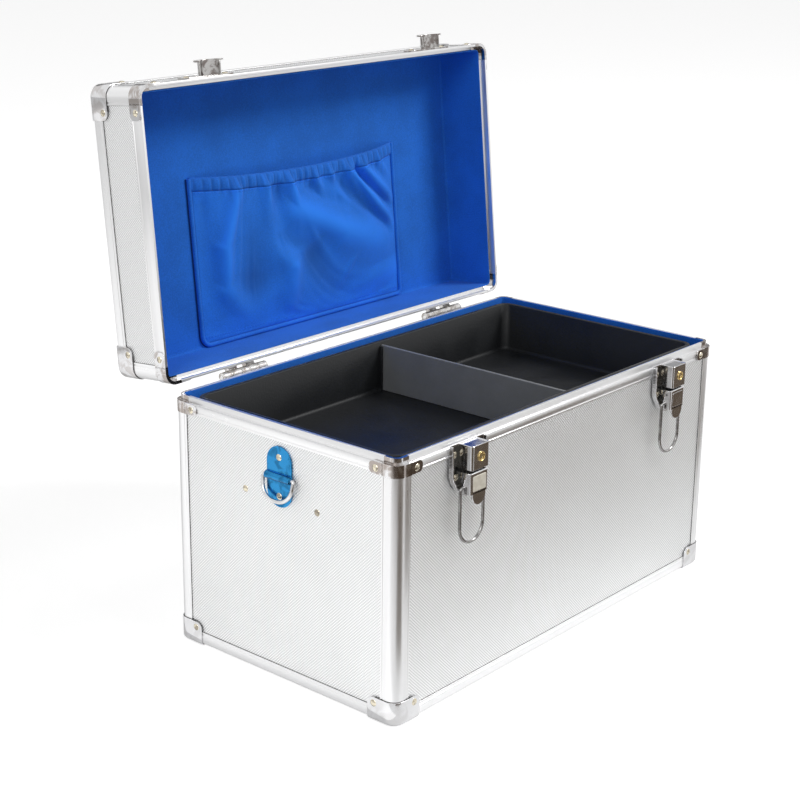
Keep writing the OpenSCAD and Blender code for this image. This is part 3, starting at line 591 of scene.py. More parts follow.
def board_finish(lid=False, flat=False):
    """Embossed silver sheet on the boards; flat boards carry the pattern in their own plane."""
    name = "board_finish" + ("_lid" if lid else "") + ("_flat" if flat else "")
    if name in bpy.data.materials:
        return bpy.data.materials[name]
    settings = box_settings()
    material, tree, shader, vector = start_finish(name, lid)
    face = vector
    if not flat:
        parts = split(tree, vector)
        run = maths(tree, "ADD", parts[0], parts[1])
        face = add_node(tree, "ShaderNodeCombineXYZ", {0: run, 1: parts[2]}).outputs[0]
    emboss = group_node(tree, "Diamond emboss", Vector=face, Pitch=settings.emboss_pitch).outputs
    marks = group_node(tree, "Handling marks", Vector=vector, Size=0.06).outputs[0]
    # Painted shade in the hollows of the emboss and painted highlight on its raised diamonds
    low, high = shade(settings.board_colour, 0.74), shade(settings.board_colour, 1.14)
    tone = mix_colours(tree, emboss["Shade"], low, high)
    worn = maths(tree, "MULTIPLY", marks, 0.05)
    set_inputs(tree, shader, {
        "Base Color": mix_colours(tree, worn, tone, (0.45, 0.45, 0.46, 1.0)),
        "Metallic": 0.85,
        "Roughness": maths(tree, "MULTIPLY_ADD", marks, 0.08, 0.4),
    })
    add_bump(tree, shader, emboss["Height"], 0.5, 0.00025)
    return material


def aluminium_finish(axis, lid=False):
    """Satin extrusion with drawn lines along an axis."""
    name = "aluminium_finish_" + axis.lower() + ("_lid" if lid else "")
    if name in bpy.data.materials:
        return bpy.data.materials[name]
    colour = box_settings().aluminium_colour
    turns = {"X": (0, 0, 0), "Y": (0, 0, -pi / 2), "Z": (0, pi / 2, 0)}
    material, tree, shader, vector = start_finish(name, lid, turns[axis])
    lines = group_node(tree, "Drawn lines", Vector=vector, Lines=1100.0).outputs
    marks = group_node(tree, "Handling marks", Vector=vector, Size=0.035).outputs[0]
    edges = group_node(tree, "Edge wear and highlight", Radius=0.0005).outputs[0]
    tone = mix_colours(tree, lines["Bands"], shade(colour, 0.93), shade(colour, 1.04))
    rough = maths(tree, "MULTIPLY_ADD", marks, 0.04, 0.27)
    set_inputs(tree, shader, {
        "Base Color": mix_colours(tree, maths(tree, "MULTIPLY", edges, 0.6), tone, (0.93, 0.93, 0.93, 1)),
        "Metallic": 0.95,
        "Roughness": maths(tree, "MULTIPLY_ADD", lines["Lines"], 0.06, rough),
    })
    add_bump(tree, shader, lines["Lines"], 0.15, 0.00005)
    return material


def metal_finish(name, colour, dull, roughness, lid, blotch, depth=0.6, edge_gain=1.25):
    """Bright metal whose tone drifts in blotches between its colour and a darker one, a painted reflection of
    dark surroundings.
    """
    name = name + "_finish" + ("_lid" if lid else "")
    if name in bpy.data.materials:
        return bpy.data.materials[name]
    material, tree, shader, vector = start_finish(name, lid)
    marks = group_node(tree, "Handling marks", Vector=vector, Size=0.01).outputs[0]
    edges = group_node(tree, "Edge wear and highlight", Radius=0.0004).outputs[0]
    # Painted reflection: blotches of the darker colour
    share = ramp(tree, noise(tree, vector, 1 / blotch, 2.0, 0.55, 0.6), 0.42, 0.6, 0.0, depth)
    tone = mix_colours(tree, share, shade(colour), shade(dull))
    set_inputs(tree, shader, {
        # Lighter edges: wear, and a painted highlight on the blue plates
        "Base Color": mix_colours(tree, maths(tree, "MULTIPLY", edges, 0.8), tone, shade(colour, edge_gain)),
        "Metallic": 1.0,
        "Roughness": maths(tree, "MULTIPLY_ADD", marks, 0.06, roughness),
    })
    add_bump(tree, shader, marks, 0.02, 0.00003)
    return material


def chrome_finish(lid=False):
    settings = box_settings()
    return metal_finish("pressed_chrome", settings.chrome_colour, settings.chrome_reflection_dark, 0.1, lid, 0.014, 0.14)


def wire_finish():
    """Drawn steel wire, greyer than the pressings."""
    return metal_finish("drawn_wire", (0.4, 0.395, 0.39), (0.1, 0.09, 0.085), 0.08, False, 0.006, 0.5)


def corner_finish(name, lid=False, depth=0.7):
    """Plated steel of a corner pressing, with brown patches of painted reflection."""
    return metal_finish(name, box_settings().chrome_colour, (0.22, 0.16, 0.12), 0.12, lid, 0.011, depth)


def rivet_finish(lid):
    return metal_finish("rivet_steel", (0.72, 0.66, 0.52), box_settings().chrome_reflection_dark, 0.16, lid, 0.004, 0.7)


def seam_shade_and_dirt_finish(lid):
    """Broken dark line in a seam: painted shade in the gap, with some dirt."""
    return metal_finish("seam_line_shade_dirt", (0.03, 0.03, 0.03), (0.3, 0.29, 0.28), 0.6, lid, 0.003, 0.9)


def blue_metal_finish():
    # Painted highlight: edges 2.4 times as bright as the blue; blotches of half its tone as painted reflection
    colour = box_settings().strap_colour
    return metal_finish("blue_metal", colour, shade(colour, 0.5), 0.2, False, 0.009, 0.8, 2.4)


def brass_finish():
    """Turned brass on the face of a lock, painted dark where it lies deeper than the face, as painted shade in
    the keyhole.
    """
    colour = box_settings().brass_colour
    new = "lock_brass_finish" not in bpy.data.materials
    material = metal_finish("lock_brass", colour, shade(colour, 0.5), 0.22, False, 0.003)
    if new:
        tree = material.node_tree
        socket = tree.nodes["Principled BSDF"].inputs["Base Color"]
        y = split(tree, add_node(tree, "ShaderNodeTexCoord").outputs["Object"])[1]
        face = LOCK_LOW.y * MM
        # Painted shade in the keyhole
        deep = ramp(tree, y, face + 0.0005, face + 0.001)
        dark = mix_colours(tree, deep, socket.links[0].from_socket, (0.03, 0.025, 0.02, 1))
        tree.links.new(dark, socket)
    return material


def plastic_finish(name, colour, roughness, grain, strength, lid=False):
    """Moulded plastic with a pebbled grain and rubbed edges."""
    name = name + "_finish"
    if name in bpy.data.materials:
        return bpy.data.materials[name]
    material, tree, shader, vector = start_finish(name, lid)
    pebbles = group_node(tree, "Moulded grain", Vector=vector, Grain=grain).outputs[0]
    marks = group_node(tree, "Handling marks", Vector=vector, Size=0.05).outputs[0]
    edges = group_node(tree, "Edge wear and highlight", Radius=0.001).outputs[0]
    dusty = mix_colours(tree, maths(tree, "MULTIPLY", marks, 0.18), shade(colour), shade(colour, 1.9))
    set_inputs(tree, shader, {
        "Base Color": mix_colours(tree, maths(tree, "MULTIPLY", edges, 0.35), dusty, shade(colour, 3.2)),
        "Roughness": maths(tree, "MULTIPLY_ADD", marks, 0.14, roughness),
        "Specular IOR Level": 0.3,
    })
    add_bump(tree, shader, pebbles, strength, 0.0002)
    return material


def cloth_finish(name, tone=1.0, lid=True, folds=0.0):
    """Brushed knit cloth in a tone of the lining's colour, with a soft sheen, painted highlight on the ridges of
    its folds and painted shade in their hollows.
    """
    name = name + "_finish"
    if name in bpy.data.materials:
        return bpy.data.materials[name]
    colour = shade(box_settings().lining_colour, tone)
    material, tree, shader, vector = start_finish(name, lid)
    knit = group_node(tree, "Brushed knit", Vector=vector, Loop=0.0011).outputs
    blue = mix_colours(tree, knit["Tone"], shade(colour, 0.86), shade(colour, 1.12))
    if folds:
        # Painted light: the fold attribute lightens the colour on ridges and darkens it in hollows
        stands = add_node(tree, "ShaderNodeAttribute", attribute_name="fold").outputs["Fac"]
        for end, gain in ((-1.0, 0.5), (1.0, 1.45)):
            blue = mix_colours(tree, ramp(tree, stands, 0.0, end, 0.0, folds), blue, shade(colour, gain))
    set_inputs(tree, shader, {
        "Base Color": blue, "Roughness": 0.78, "Specular IOR Level": 0.25, "Sheen Weight": 0.25,
        "Sheen Roughness": 0.45, "Sheen Tint": (0.35, 0.6, 1.0, 1.0),
    })
    add_bump(tree, shader, knit["Height"], 0.5, 0.0003)
    return material


# Properties


def colour_property(name, description, default):
    return FloatVectorProperty(
        name=name, description=description, default=default, size=3, min=0.0, max=1.0, subtype="COLOR",
    )


class MedicineBoxSettings(bpy.types.PropertyGroup):
    """Finish and fine detail of the medicine box"""

    board_colour: colour_property("Boards", "Embossed sheet on the boards", (0.92, 0.925, 0.93))
    aluminium_colour: colour_property("Frame", "Extruded posts, rails and rims", (0.84, 0.84, 0.845))
    chrome_colour: colour_property("Chrome", "Plated pressings where they are bright", (0.72, 0.72, 0.73))
    # Dark colour of the blotches on the plated pressings: a painted reflection
    chrome_reflection_dark: colour_property("Dull chrome", "Plated pressings where they are dull", (0.2, 0.17, 0.14))
    lining_colour: colour_property("Lining", "Brushed cloth inside the case and lid", (0.015, 0.16, 0.67))
    tray_colour: colour_property("Tray", "Moulded tray and divider", (0.009, 0.01, 0.0115))
    brass_colour: colour_property("Locks", "Turned brass of the locks", (0.8, 0.6, 0.27))
    strap_colour: colour_property("Strap plates", "Bright blue plates of the strap rings", (0.03, 0.24, 0.52))
    grip_colour: colour_property("Grip", "Moulded grip of the handle", (0.016, 0.016, 0.017))
    emboss_pitch: FloatProperty(
        name="Emboss pitch", description="Distance between the rows of diamonds on the boards",
        default=0.0017, min=0.001, max=0.006, unit="LENGTH", subtype="DISTANCE",
    )
    fold_height: FloatProperty(
        name="Fold height", description="Height of the folds in the pocket cloth",
        default=0.0075, min=0.0, max=0.01, unit="LENGTH", subtype="DISTANCE",
    )
    sag_frames: IntProperty(
        name="Sag frames", description="Frames that the pocket cloth settles for", default=22, min=1, max=60,
    )


class MedicineBoxStage(bpy.types.PropertyGroup):
    """Camera, floor and light round the medicine box"""

    camera_place: FloatVectorProperty(
        name="Camera place", description="Where the camera stands",
        default=(-1.02884, -0.82054, 0.59965), size=3, unit="LENGTH", subtype="TRANSLATION",
    )
    camera_azimuth: FloatProperty(
        name="Azimuth", description="Direction of view round the case", default=radians(-49.229),
        unit="ROTATION", subtype="ANGLE",
    )
    camera_elevation: FloatProperty(
        name="Elevation", description="Direction of view above the horizon", default=radians(17.519),
        unit="ROTATION", subtype="ANGLE",
    )
    camera_roll: FloatProperty(
        name="Roll", description="Roll of the camera about its view", default=radians(0.592),
        unit="ROTATION", subtype="ANGLE",
    )
    lens: FloatProperty(
        name="Lens", description="Focal length for a 36 mm sensor", default=76.76, unit="CAMERA",
    )
    shift_x: FloatProperty(
        name="Shift X", description="Sideways shift of the lens", default=0.0057, subtype="FACTOR",
        soft_min=-0.1, soft_max=0.1,
    )
    shift_y: FloatProperty(
        name="Shift Y", description="Upward shift of the lens", default=-0.0175, subtype="FACTOR",
        soft_min=-0.1, soft_max=0.1,
    )
    surround: FloatProperty(
        name="Surround", description="Soft light from all around", default=0.3, min=0.0, max=2.0,
        subtype="FACTOR",
    )
    key_power: FloatProperty(
        name="Key light", description="Power of the soft light from the right", default=58.0, min=0.0,
        unit="POWER",
    )


# Pieces


def ridge_line(depth_from, height_from):
    """Free edge of a skin, turned in, with a shallow groove beside it: points (along, depth)."""
    lip, groove, fall = 1.2, 0.8, 0.3
    return [
        (depth_from, SKIN), (depth_from, 0), (depth_from - lip, 0),
        (depth_from - lip - fall, fall), (depth_from - lip - groove - fall, fall),
        (depth_from - lip - groove - 2 * fall, height_from),
    ]


def post_skin(length):
    """Rounded corner post as a sheet that is bent round the corner, drawn from the corner."""
    leg = ridge_line(POST_LEG, 0)
    other = [(y, x) for x, y in reversed(leg)]
    return bent_sheet(leg + [(0, 0, POST_R)] + other, length, SKIN, (POST_R * 2, POST_R * 2), 10)


def angle_rail(length, height):
    """Rail with a rounded outer edge, its upright leg as high as given, along x."""
    edge_r = 2.4
    upright = [(y, x) for x, y in ridge_line(height, 0)]
    bm = bent_sheet(upright + [(0, 0, edge_r), (RAIL_LEG, 0)], length, SKIN, (height, height), 6)
    bm.transform(along_x(length))
    return bm


def rim_bar(profile, length):
    """Rim extrusion from its section (depth, height), along x."""
    bm = plate(profile, length, 0.3)
    bm.transform(along_x(length))
    return bm


def run_length(side):
    return side_length(side) - 2 * POST_LEG - 2 * JOINT_FIT


def add_seam_shade_and_dirt_lines(name, body, lines):
    """Adds the dark lines of painted shade, with some dirt, in a seam of the base or the lid."""
    add_piece("%s_%s" % (name, body), lines, body, seam_shade_and_dirt_finish(body == "lid"))


class OBJECT_OT_case_boards(bpy.types.Operator):
    """Gives the faced boards their embossed finish"""

    bl_idname = "medicine_box.boards"
    bl_label = "Boards"

    def execute(self, context):
        for side in ("front", "rear", "left", "right"):
            finish_node("base_%s_panel" % side, board_finish())
            finish_node("lid_%s_panel" % side, board_finish(lid=True))
        finish_node("base_bottom_panel", board_finish(flat=True))
        finish_node("lid_top_panel", board_finish(lid=True, flat=True))
        return {"FINISHED"}


class OBJECT_OT_case_posts(bpy.types.Operator):
    """Builds the rounded corner posts of the base and the lid"""

    bl_idname = "medicine_box.posts"
    bl_label = "Posts"

    def execute(self, context):
        for sy, depth_word in ((-1, "front"), (1, "rear")):
            for sx, side_word in HANDS:
                name = "post_%s_%s" % (depth_word, side_word)
                add_piece(
                    name, [(post_skin(SHOULDER - FOOT), at_corner(sx, sy) @ shift(z=FOOT))], "base",
                    aluminium_finish("Z"), ["base_" + name],
                )
        add_piece(
            "lid_post_skins",
            [(post_skin(LID_TOP - LID_POST_Z), LID @ corner @ shift(z=LID_POST_Z)) for corner in corners()],
            "lid", aluminium_finish("Z", True), ["lid_posts"],
        )
        return {"FINISHED"}


def board_seams(low, high, stand=BASE):
    """Fine dark line round the open part of each board, between two heights: painted shade in the gap at its
    edge, with some dirt.
    """
    lines = []
    for side in SIDES:
        x, y = side_length(side) / 2 - POST_LEG, SKIN
        points = [(-x, y, low), (x, y, low), (x, y, high), (-x, y, high)]
        lines.append((wire(points, 0.36, cyclic=True), stand @ on_side(side)))
    return lines


class OBJECT_OT_case_rails(bpy.types.Operator):
    """Builds the foot rails of the base, the top rails of the lid and the dark lines of painted shade in the
    seams of the boards
    """

    bl_idname = "medicine_box.rails"
    bl_label = "Rails"

    def execute(self, context):
        for axis, name, sides in (("X", "front_rear", (0, 2)), ("Y", "sides", (1, 3))):
            for word, body, height, stand, lift in (
                ("foot", "base", RAIL_HIGH.z - RAIL_LOW.z, BASE, shift(z=RAIL_LOW.z)),
                ("top", "lid", LID_TOP - TOP_RAIL_Z, LID, shift(z=LID_TOP) @ MIRROR_Z),
            ):
                rails = [(angle_rail(run_length(s), height), stand @ on_side(s) @ lift) for s in sides]
                add_piece(
                    "%s_rails_%s" % (word, name), rails, body,
                    aluminium_finish(axis, body == "lid"),
                    ["%s_%s_rails" % (body, word)] if axis == "X" else (),
                )
        # Dark lines of painted shade, with some dirt, in the seams round the boards
        add_seam_shade_and_dirt_lines("board_seams", "base", board_seams(RAIL_HIGH.z, RIM_LOW.z))
        add_seam_shade_and_dirt_lines("board_seams", "lid", board_seams(LID_BAND_TOP, TOP_RAIL_Z, LID))
        return {"FINISHED"}


def band_edge(z, up):
    """Edge of a rim's outer band with its fine groove: points (depth, height)."""
    groove = 0.35
    steps = ((0, 0), (0, 1.6), (groove, 1.9), (groove, 2.5), (0, 2.8))
    return [(depth, z + up * rise) for depth, rise in steps]


class OBJECT_OT_case_rims(bpy.types.Operator):
    """Builds the meeting rims of the base and the lid"""

    bl_idname = "medicine_box.rims"
    bl_label = "Rims"

    def execute(self, context):
        web = SHOULDER - WEB
        base_profile = band_edge(RIM_LOW.z, 1) + [
            (0, SHOULDER), (TONGUE_SET, SHOULDER), (TONGUE_SET, RIM_HIGH.z), (WALL, RIM_HIGH.z),
            (WALL, web), (SKIN, web), (SKIN, RIM_LOW.z),
        ]
        lid_web = LID_POST_Z - WEB
        lid_profile = band_edge(LID_BAND_TOP, -1) + [
            (0, LID_EDGE), (LID_BAND_T, LID_EDGE), (LID_BAND_T, lid_web), (WALL, lid_web),
            (WALL, LID_POST_Z), (SKIN, LID_POST_Z), (SKIN, LID_BAND_TOP),
        ]
        for side, word in zip(SIDES, ("front", "right", "rear", "left")):
            axis = "X" if side % 2 == 0 else "Y"
            add_piece(
                "rim_" + word, [(rim_bar(base_profile, run_length(side)), on_side(side))], "base",
                aluminium_finish(axis), ["base_rim_" + word], smooth=28,
            )
            add_piece(
                "lid_rim_" + word, [(rim_bar(lid_profile, run_length(side)), LID @ on_side(side))], "lid",
                aluminium_finish(axis, True), ["lid_rims"] if side == 0 else (), smooth=28,
            )
        return {"FINISHED"}


def corner_cap():
    """Pressed cap over three faces of a corner, standing on z = 0."""
    leg = CAP_LEG + CAP_T
    tab_r, short_edge, edge_r = 6.0, 9.1, 3.0
    bm = bmesh.new()
    bmesh.ops.create_cube(bm, size=1)
    bmesh.ops.translate(bm, verts=bm.verts[:], vec=(0.5, 0.5, 0.5))
    bmesh.ops.scale(bm, verts=bm.verts[:], vec=(leg, leg, CAP_H))
    inner = [f for f in bm.faces if f.normal.x > 0.5 or f.normal.y > 0.5 or f.normal.z > 0.5]
    bmesh.ops.delete(bm, geom=inner, context="FACES")

    def round_corner_at(place, radius, steps):
        bevel(bm, [min(bm.verts, key=lambda v: (v.co - Vector(place)).length)], radius, steps)

    round_corner_at((leg, 0, CAP_H), tab_r, 6)
    round_corner_at((0, leg, CAP_H), tab_r, 6)
    round_corner_at((leg, leg, 0), CAP_LEG - short_edge, 1)
    upright = [e for e in bm.edges if all(v.co.xy.length < 0.01 for v in e.verts)]
    bevel(bm, upright, POST_R + CAP_T, 8, "EDGES")
    lower = [e for e in bm.edges if len(e.link_faces) == 2 and all(v.co.z < 0.01 for v in e.verts)]
    bevel(bm, lower, edge_r, 4, "EDGES")
    point_out(bm, Vector((leg, leg, CAP_H)))
    bmesh.ops.solidify(bm, geom=bm.faces[:], thickness=CAP_T)
    bmesh.ops.translate(bm, verts=bm.verts[:], vec=(-CAP_T, -CAP_T, 0))
    return soften(bm, 0.3, 2, 55)


def corner_shade_line(leg, z):
    """Fine dark line round a corner, where the edge of a pressing meets the post: painted shade under that edge.
    """
    out = -0.08
    return wire([(leg, out, z), (out, out, z, POST_R), (out, leg, z)], 0.24)


class OBJECT_OT_case_corner_caps(bpy.types.Operator):
    """Builds the pressed corner caps of the base and the lid"""

    bl_idname = "medicine_box.corner_caps"
    bl_label = "Corner caps"

    def execute(self, context):
        upside_down = LID @ (shift(z=LID_TOP + CAP_T) @ MIRROR_Z)
        add_piece(
            "corner_caps_base", at_each_corner(BASE, corner_cap), "base", chrome_finish(),
            ["base_corner_caps"], smooth=28,
        )
        add_piece(
            "corner_caps_lid", at_each_corner(upside_down, corner_cap), "lid",
            corner_finish("cap_steel", True, 0.32), ["lid_corner_caps"], smooth=28,
        )
        # Dark lines of painted shade under the edges of the caps
        for body, stand in (("base", BASE), ("lid", upside_down)):
            lines = at_each_corner(stand, corner_shade_line, CAP_LEG - 7, CAP_H + 0.1)
            add_seam_shade_and_dirt_lines("cap_edges", body, lines)
        return {"FINISHED"}


def rim_collar(section):
    """Collar round a corner from its closed section (distance from the outer face, height)."""
    bm = bmesh.new()
    face = bm.faces.new([bm.verts.new((POST_R, d, z)) for d, z in section])
    push(bm, [face], (POST_LEG - POST_R, 0, 0))
    start = [f for f in bm.faces if all(abs(v.co.x - POST_R) < TIGHT for v in f.verts)]
    spun = bmesh.ops.spin(
        bm, geom=start, cent=(POST_R, POST_R, 0), axis=(0, 0, -1), angle=pi / 2, steps=8,
    )
    last = [g for g in spun["geom_last"] if isinstance(g, bmesh.types.BMFace)]
    push(bm, last, (0, POST_LEG - POST_R, 0))
    return merge(bm)


def lug(z0, z1):
    """Flat lug with a rounded end beside a rim corner, drawn along x from the corner."""
    start = POST_LEG - 2
    round_r = min(4.0, (z1 - z0) / 2 - 0.1)
    outline = [(start, z0), (BRACKET_LEG, z0, round_r), (BRACKET_LEG, z1, round_r), (start, z1)]
    bm = plate(outline, BRACKET_T, 0.25)
    bm.transform(FACING_OUT)
    return bm


def rim_corner(section, z0, z1):
    swap = Matrix(((0, 1, 0, 0), (1, 0, 0, 0), (0, 0, 1, 0), (0, 0, 0, 1)))
    return gather([(rim_collar(section), BASE), (lug(z0, z1), BASE), (lug(z0, z1), swap)])


class OBJECT_OT_case_rim_corners(bpy.types.Operator):
    """Builds the collars at the corners of the rims"""

    bl_idname = "medicine_box.rim_corners"
    bl_label = "Rim corners"

    def execute(self, context):
        shelf = SHOULDER + BRACKET_T
        section = [
            (-BRACKET_T, COLLAR_LOW), (-BRACKET_T, shelf), (TONGUE_SET, shelf), (TONGUE_SET, RIM_HIGH.z),
            (WALL, RIM_HIGH.z), (WALL, SHOULDER), (0, SHOULDER), (0, COLLAR_LOW),
        ]
        lid_web = LID_POST_Z - WEB
        lid_section = [
            (-BRACKET_T, LID_BAND_TOP), (-BRACKET_T, LID_EDGE), (LID_BAND_T, LID_EDGE), (LID_BAND_T, lid_web),
            (WALL, lid_web), (WALL, LID_POST_Z), (0, LID_POST_Z), (0, LID_BAND_TOP),
        ]
        add_piece(
            "rim_corners_base", at_each_corner(BASE, rim_corner, section, COLLAR_LOW, shelf), "base",
            corner_finish("collar_steel"), ["base_rim_corners"],
        )
        add_piece(
            "rim_corners_lid", at_each_corner(LID, rim_corner, lid_section, LID_EDGE, LID_BAND_TOP), "lid",
            corner_finish("collar_steel", True, 0.6), ["lid_rim_corners"],
        )
        # Dark lines of painted shade under the edges of the collars
        for body, stand, z in (("base", BASE, COLLAR_LOW - 0.1), ("lid", LID, LID_BAND_TOP + 0.1)):
            add_seam_shade_and_dirt_lines("collar_edges", body, at_each_corner(stand, corner_shade_line, POST_LEG, z))
        return {"FINISHED"}


def rivet_head():
    """Domed head, cut flat on z = 0."""
    dome = RIVET_R * 2
    bm = bmesh.new()
    bmesh.ops.create_uvsphere(bm, u_segments=14, v_segments=26, radius=dome)
    bmesh.ops.translate(bm, verts=bm.verts[:], vec=(0, 0, RIVET_H - dome))
    geometry = bm.verts[:] + bm.edges[:] + bm.faces[:]
    bmesh.ops.bisect_plane(bm, geom=geometry, plane_co=(0, 0, 0), plane_no=(0, 0, 1), clear_inner=True)
    bmesh.ops.edgeloop_fill(bm, edges=[e for e in bm.edges if e.is_boundary])
    bmesh.ops.recalc_face_normals(bm, faces=bm.faces[:])
    return bm


def rivet_seat():
    """Thin ring round a rivet head."""
    return pull(disc(RIVET_R + 0.55, 20), 0.12)


def side_rivet(side, x, z, out):
    return on_side(side) @ shift(x, -out, z) @ FACING_OUT


def corner_rivets(z, out):
    return [
        side_rivet(side, end * (side_length(side) / 2 - CORNER_RIVET_IN), z, out)
        for side in SIDES for end in ENDS
    ]


def leaf_rivets(end, up):
    """Row of three rivets in the leaf of a hinge, below or above its pin."""
    leaf_off = 17.3
    return [
        side_rivet(2, end * HINGE_X + x * HINGE_W / 3, HINGE.z + up * leaf_off, LEAF_T) for x in (-1, 0, 1)
    ]


class OBJECT_OT_case_rivets(bpy.types.Operator):
    """Builds the domed rivets of the base and the lid"""

    bl_idname = "medicine_box.rivets"
    bl_label = "Rivets"

    def execute(self, context):
        latch_in, latch_down = 5, 8
        cover_side = COVER_W / 2 + RIVET_R + 0.2
        strap_off, support_off, support_down = 15, 36.5, 10
        places = corner_rivets(CAP_RIVET_Z, CAP_T)
        places += corner_rivets((COLLAR_LOW + SHOULDER) / 2, BRACKET_T)
        for end in ENDS:
            for x in ENDS:
                latch_x = end * LATCH_X
                places += [
                    side_rivet(0, latch_x + x * (LATCH_W / 2 - latch_in), LATCH_TOP - latch_down, LATCH_T),
                    side_rivet(0, latch_x + x * cover_side, LATCH_TAPER_Z, LATCH_T),
                ]
            for side in (1, 3):
                places += [
                    side_rivet(side, 0, STRAP_Z + end * strap_off, STRAP_T - SKIN),
                    side_rivet(side, end * support_off, TRAY_LOW.z - support_down, -SKIN),
                ]
            places += leaf_rivets(end, -1)
        self.add_rivets("base", places, BASE)

        keeper_off, keeper_z = 20, KEEPER_LOW.z + 6.2
        saddle_x, saddle_y = 65.1, 12
        places = corner_rivets(LID_TOP + CAP_T - CAP_RIVET_Z, CAP_T)
        places += corner_rivets((LID_EDGE + LID_BAND_TOP) / 2, BRACKET_T)
        for end in ENDS:
            for x in ENDS:
                places += [
                    side_rivet(0, end * LATCH_X + x * keeper_off, keeper_z, LATCH_T),
                    shift(end * saddle_x, x * saddle_y, LID_TOP - SKIN + STRAP_T),
                ]
            places += leaf_rivets(end, 1)
        self.add_rivets("lid", places, LID)
        return {"FINISHED"}

    def add_rivets(self, body, places, stand):
        """Heads of a body's rivets and the dark seats round them."""
        lid = body == "lid"
        heads = [(rivet_head(), stand @ place) for place in places]
        add_piece("rivets_" + body, heads, body, rivet_finish(lid), [body + "_rivets"])
        seats = [(rivet_seat(), stand @ place) for place in places]
        dark_seat_finish = metal_finish("rivet_seat", (0.16, 0.13, 0.1), (0.05, 0.04, 0.03), 0.35, lid, 0.004)
        add_piece("rivet_seats_" + body, seats, body, dark_seat_finish)


def lining_shell(half_w, half_d, outer_r, floor_z, top_z):
    """Cloth-covered inside of a case, open upwards, with soft inner corners and a rolled top edge."""
    inner_w, inner_d = half_w - LINING_T, half_d - LINING_T
    inner_r = outer_r - LINING_T
    soft = 3.0
    floor = floor_z + LINING_T
    levels = [
        (inner_w - soft, inner_d - soft, 1.0, floor),
        (inner_w - soft * 0.5, inner_d - soft * 0.5, 1.4, floor + soft * 0.13),
        (inner_w - soft * 0.13, inner_d - soft * 0.13, 2.0, floor + soft * 0.5),
        (inner_w, inner_d, inner_r, floor + soft),
        (inner_w, inner_d, inner_r, top_z - 0.5),
        (inner_w + 0.3, inner_d + 0.3, inner_r + 0.3, top_z),
        (half_w - 0.2, half_d - 0.2, outer_r - 0.2, top_z),
        (half_w, half_d, outer_r, top_z - 0.4),
        (half_w, half_d, outer_r, floor_z + 0.1),
        (half_w - 0.1, half_d - 0.1, outer_r - 0.1, floor_z),
    ]
    return ring_shell(levels)


class OBJECT_OT_case_linings(bpy.types.Operator):
    """Builds the cloth linings of the base and the lid"""

    bl_idname = "medicine_box.linings"
    bl_label = "Linings"

    def execute(self, context):
        self.line("base", LINING_LOW.z, LINING_HIGH, BASE, "base_bottom_panel")
        low, high = LID_LINING_LOW, LID_LINING_HIGH
        lid_top = Vector((high.x, high.y, -low.z))
        self.line("lid", -high.z, lid_top, LID @ MIRROR_Z, "lid_top_panel")
        return {"FINISHED"}

    def line(self, body, floor_z, top, place, board):
        """Lines the base or the lid from its floor to the corner of its top edge."""
        lid = body == "lid"
        shell = lining_shell(top.x, top.y, 4.0, floor_z, top.z)
        finish = cloth_finish("lining_cloth" + ("_lid" if lid else ""), lid=lid)
        piece = add_piece(
            "lining_" + body, [(shell, place)], body, finish, [body + "_lining"], smooth=12,
        )


# Pocket: share u runs from -1 to 1 across, share v from 0 at the mouth to 1 at the foot

POCKET_HALF = POCKET_HIGH.x
MOUTH_SAG = 6
MOUTH_Y = BAND_HIGH.y - MOUTH_SAG + 0.3
CEILING_Z = LID_LINING_HIGH.z - LINING_T
BULGE = 14.25
SEW_GAP = 0.4
CLOTH_T = 0.9

# Folds of the pocket: from (u, v) to (u, v), height share at both ends and width in u; a negative height is a
# hollow, and the same shares also paint highlight on the ridges and shade in the hollows
FOLDS = [
    (-0.66, 0.00, -0.80, 0.38, 0.8, 0.9, 0.05),
    (-0.80, 0.38, -0.79, 0.66, 0.9, 0.6, 0.06),
    (-0.79, 0.66, -0.58, 0.88, 0.6, 0.1, 0.08),
    (-0.40, 0.00, -0.40, 0.30, 0.7, 0.05, 0.045),
    (-0.18, 0.00, -0.12, 0.20, 0.9, 0.8, 0.045),
    (-0.12, 0.20, 0.35, 0.42, 0.8, 0.9, 0.11),
    (0.35, 0.42, 0.90, 0.62, 0.9, 0.3, 0.13),
    (-0.30, 0.46, -0.17, 0.60, 0.2, 0.7, 0.09),
    (-0.17, 0.60, -0.19, 0.98, 0.8, 0.2, 0.09),
    (0.08, 0.00, 0.20, 0.18, 0.6, 0.05, 0.035),
    (0.24, 0.00, 0.40, 0.20, 0.6, 0.05, 0.035),
    (0.42, 0.00, 0.65, 0.22, 0.9, 0.9, 0.045),
    (0.65, 0.22, 0.98, 0.50, 0.9, 0.5, 0.05),
    (0.60, 0.02, 0.97, 0.30, 0.8, 0.5, 0.04),
    (0.78, 0.00, 0.95, 0.14, 0.5, 0.2, 0.035),
    (0.50, 0.90, 0.96, 0.80, 0.1, 0.6, 0.09),
    (0.50, 0.58, 0.26, 0.90, 0.3, 0.0, 0.03),
    (-0.56, 0.26, -0.52, 0.62, -0.3, -0.8, 0.15),
    (-0.52, 0.62, -0.44, 0.80, -0.8, -0.1, 0.15),
    (-0.29, 0.06, -0.27, 0.36, -0.5, -0.2, 0.06),
    (-0.24, 0.38, 0.04, 0.48, -0.4, -0.5, 0.09),
    (0.04, 0.56, 0.30, 0.80, -0.8, -0.4, 0.15),
    (0.30, 0.06, 0.90, 0.50, -0.5, -0.4, 0.05),
    (0.02, 0.06, 0.50, 0.30, -0.3, -0.1, 0.05),
    (0.52, 0.02, 0.94, 0.36, -0.6, -0.4, 0.03),
    (-0.92, 0.10, -0.95, 0.60, -0.4, -0.2, 0.06),
]


def sag_at(u):
    return MOUTH_SAG * (1 - u * u)


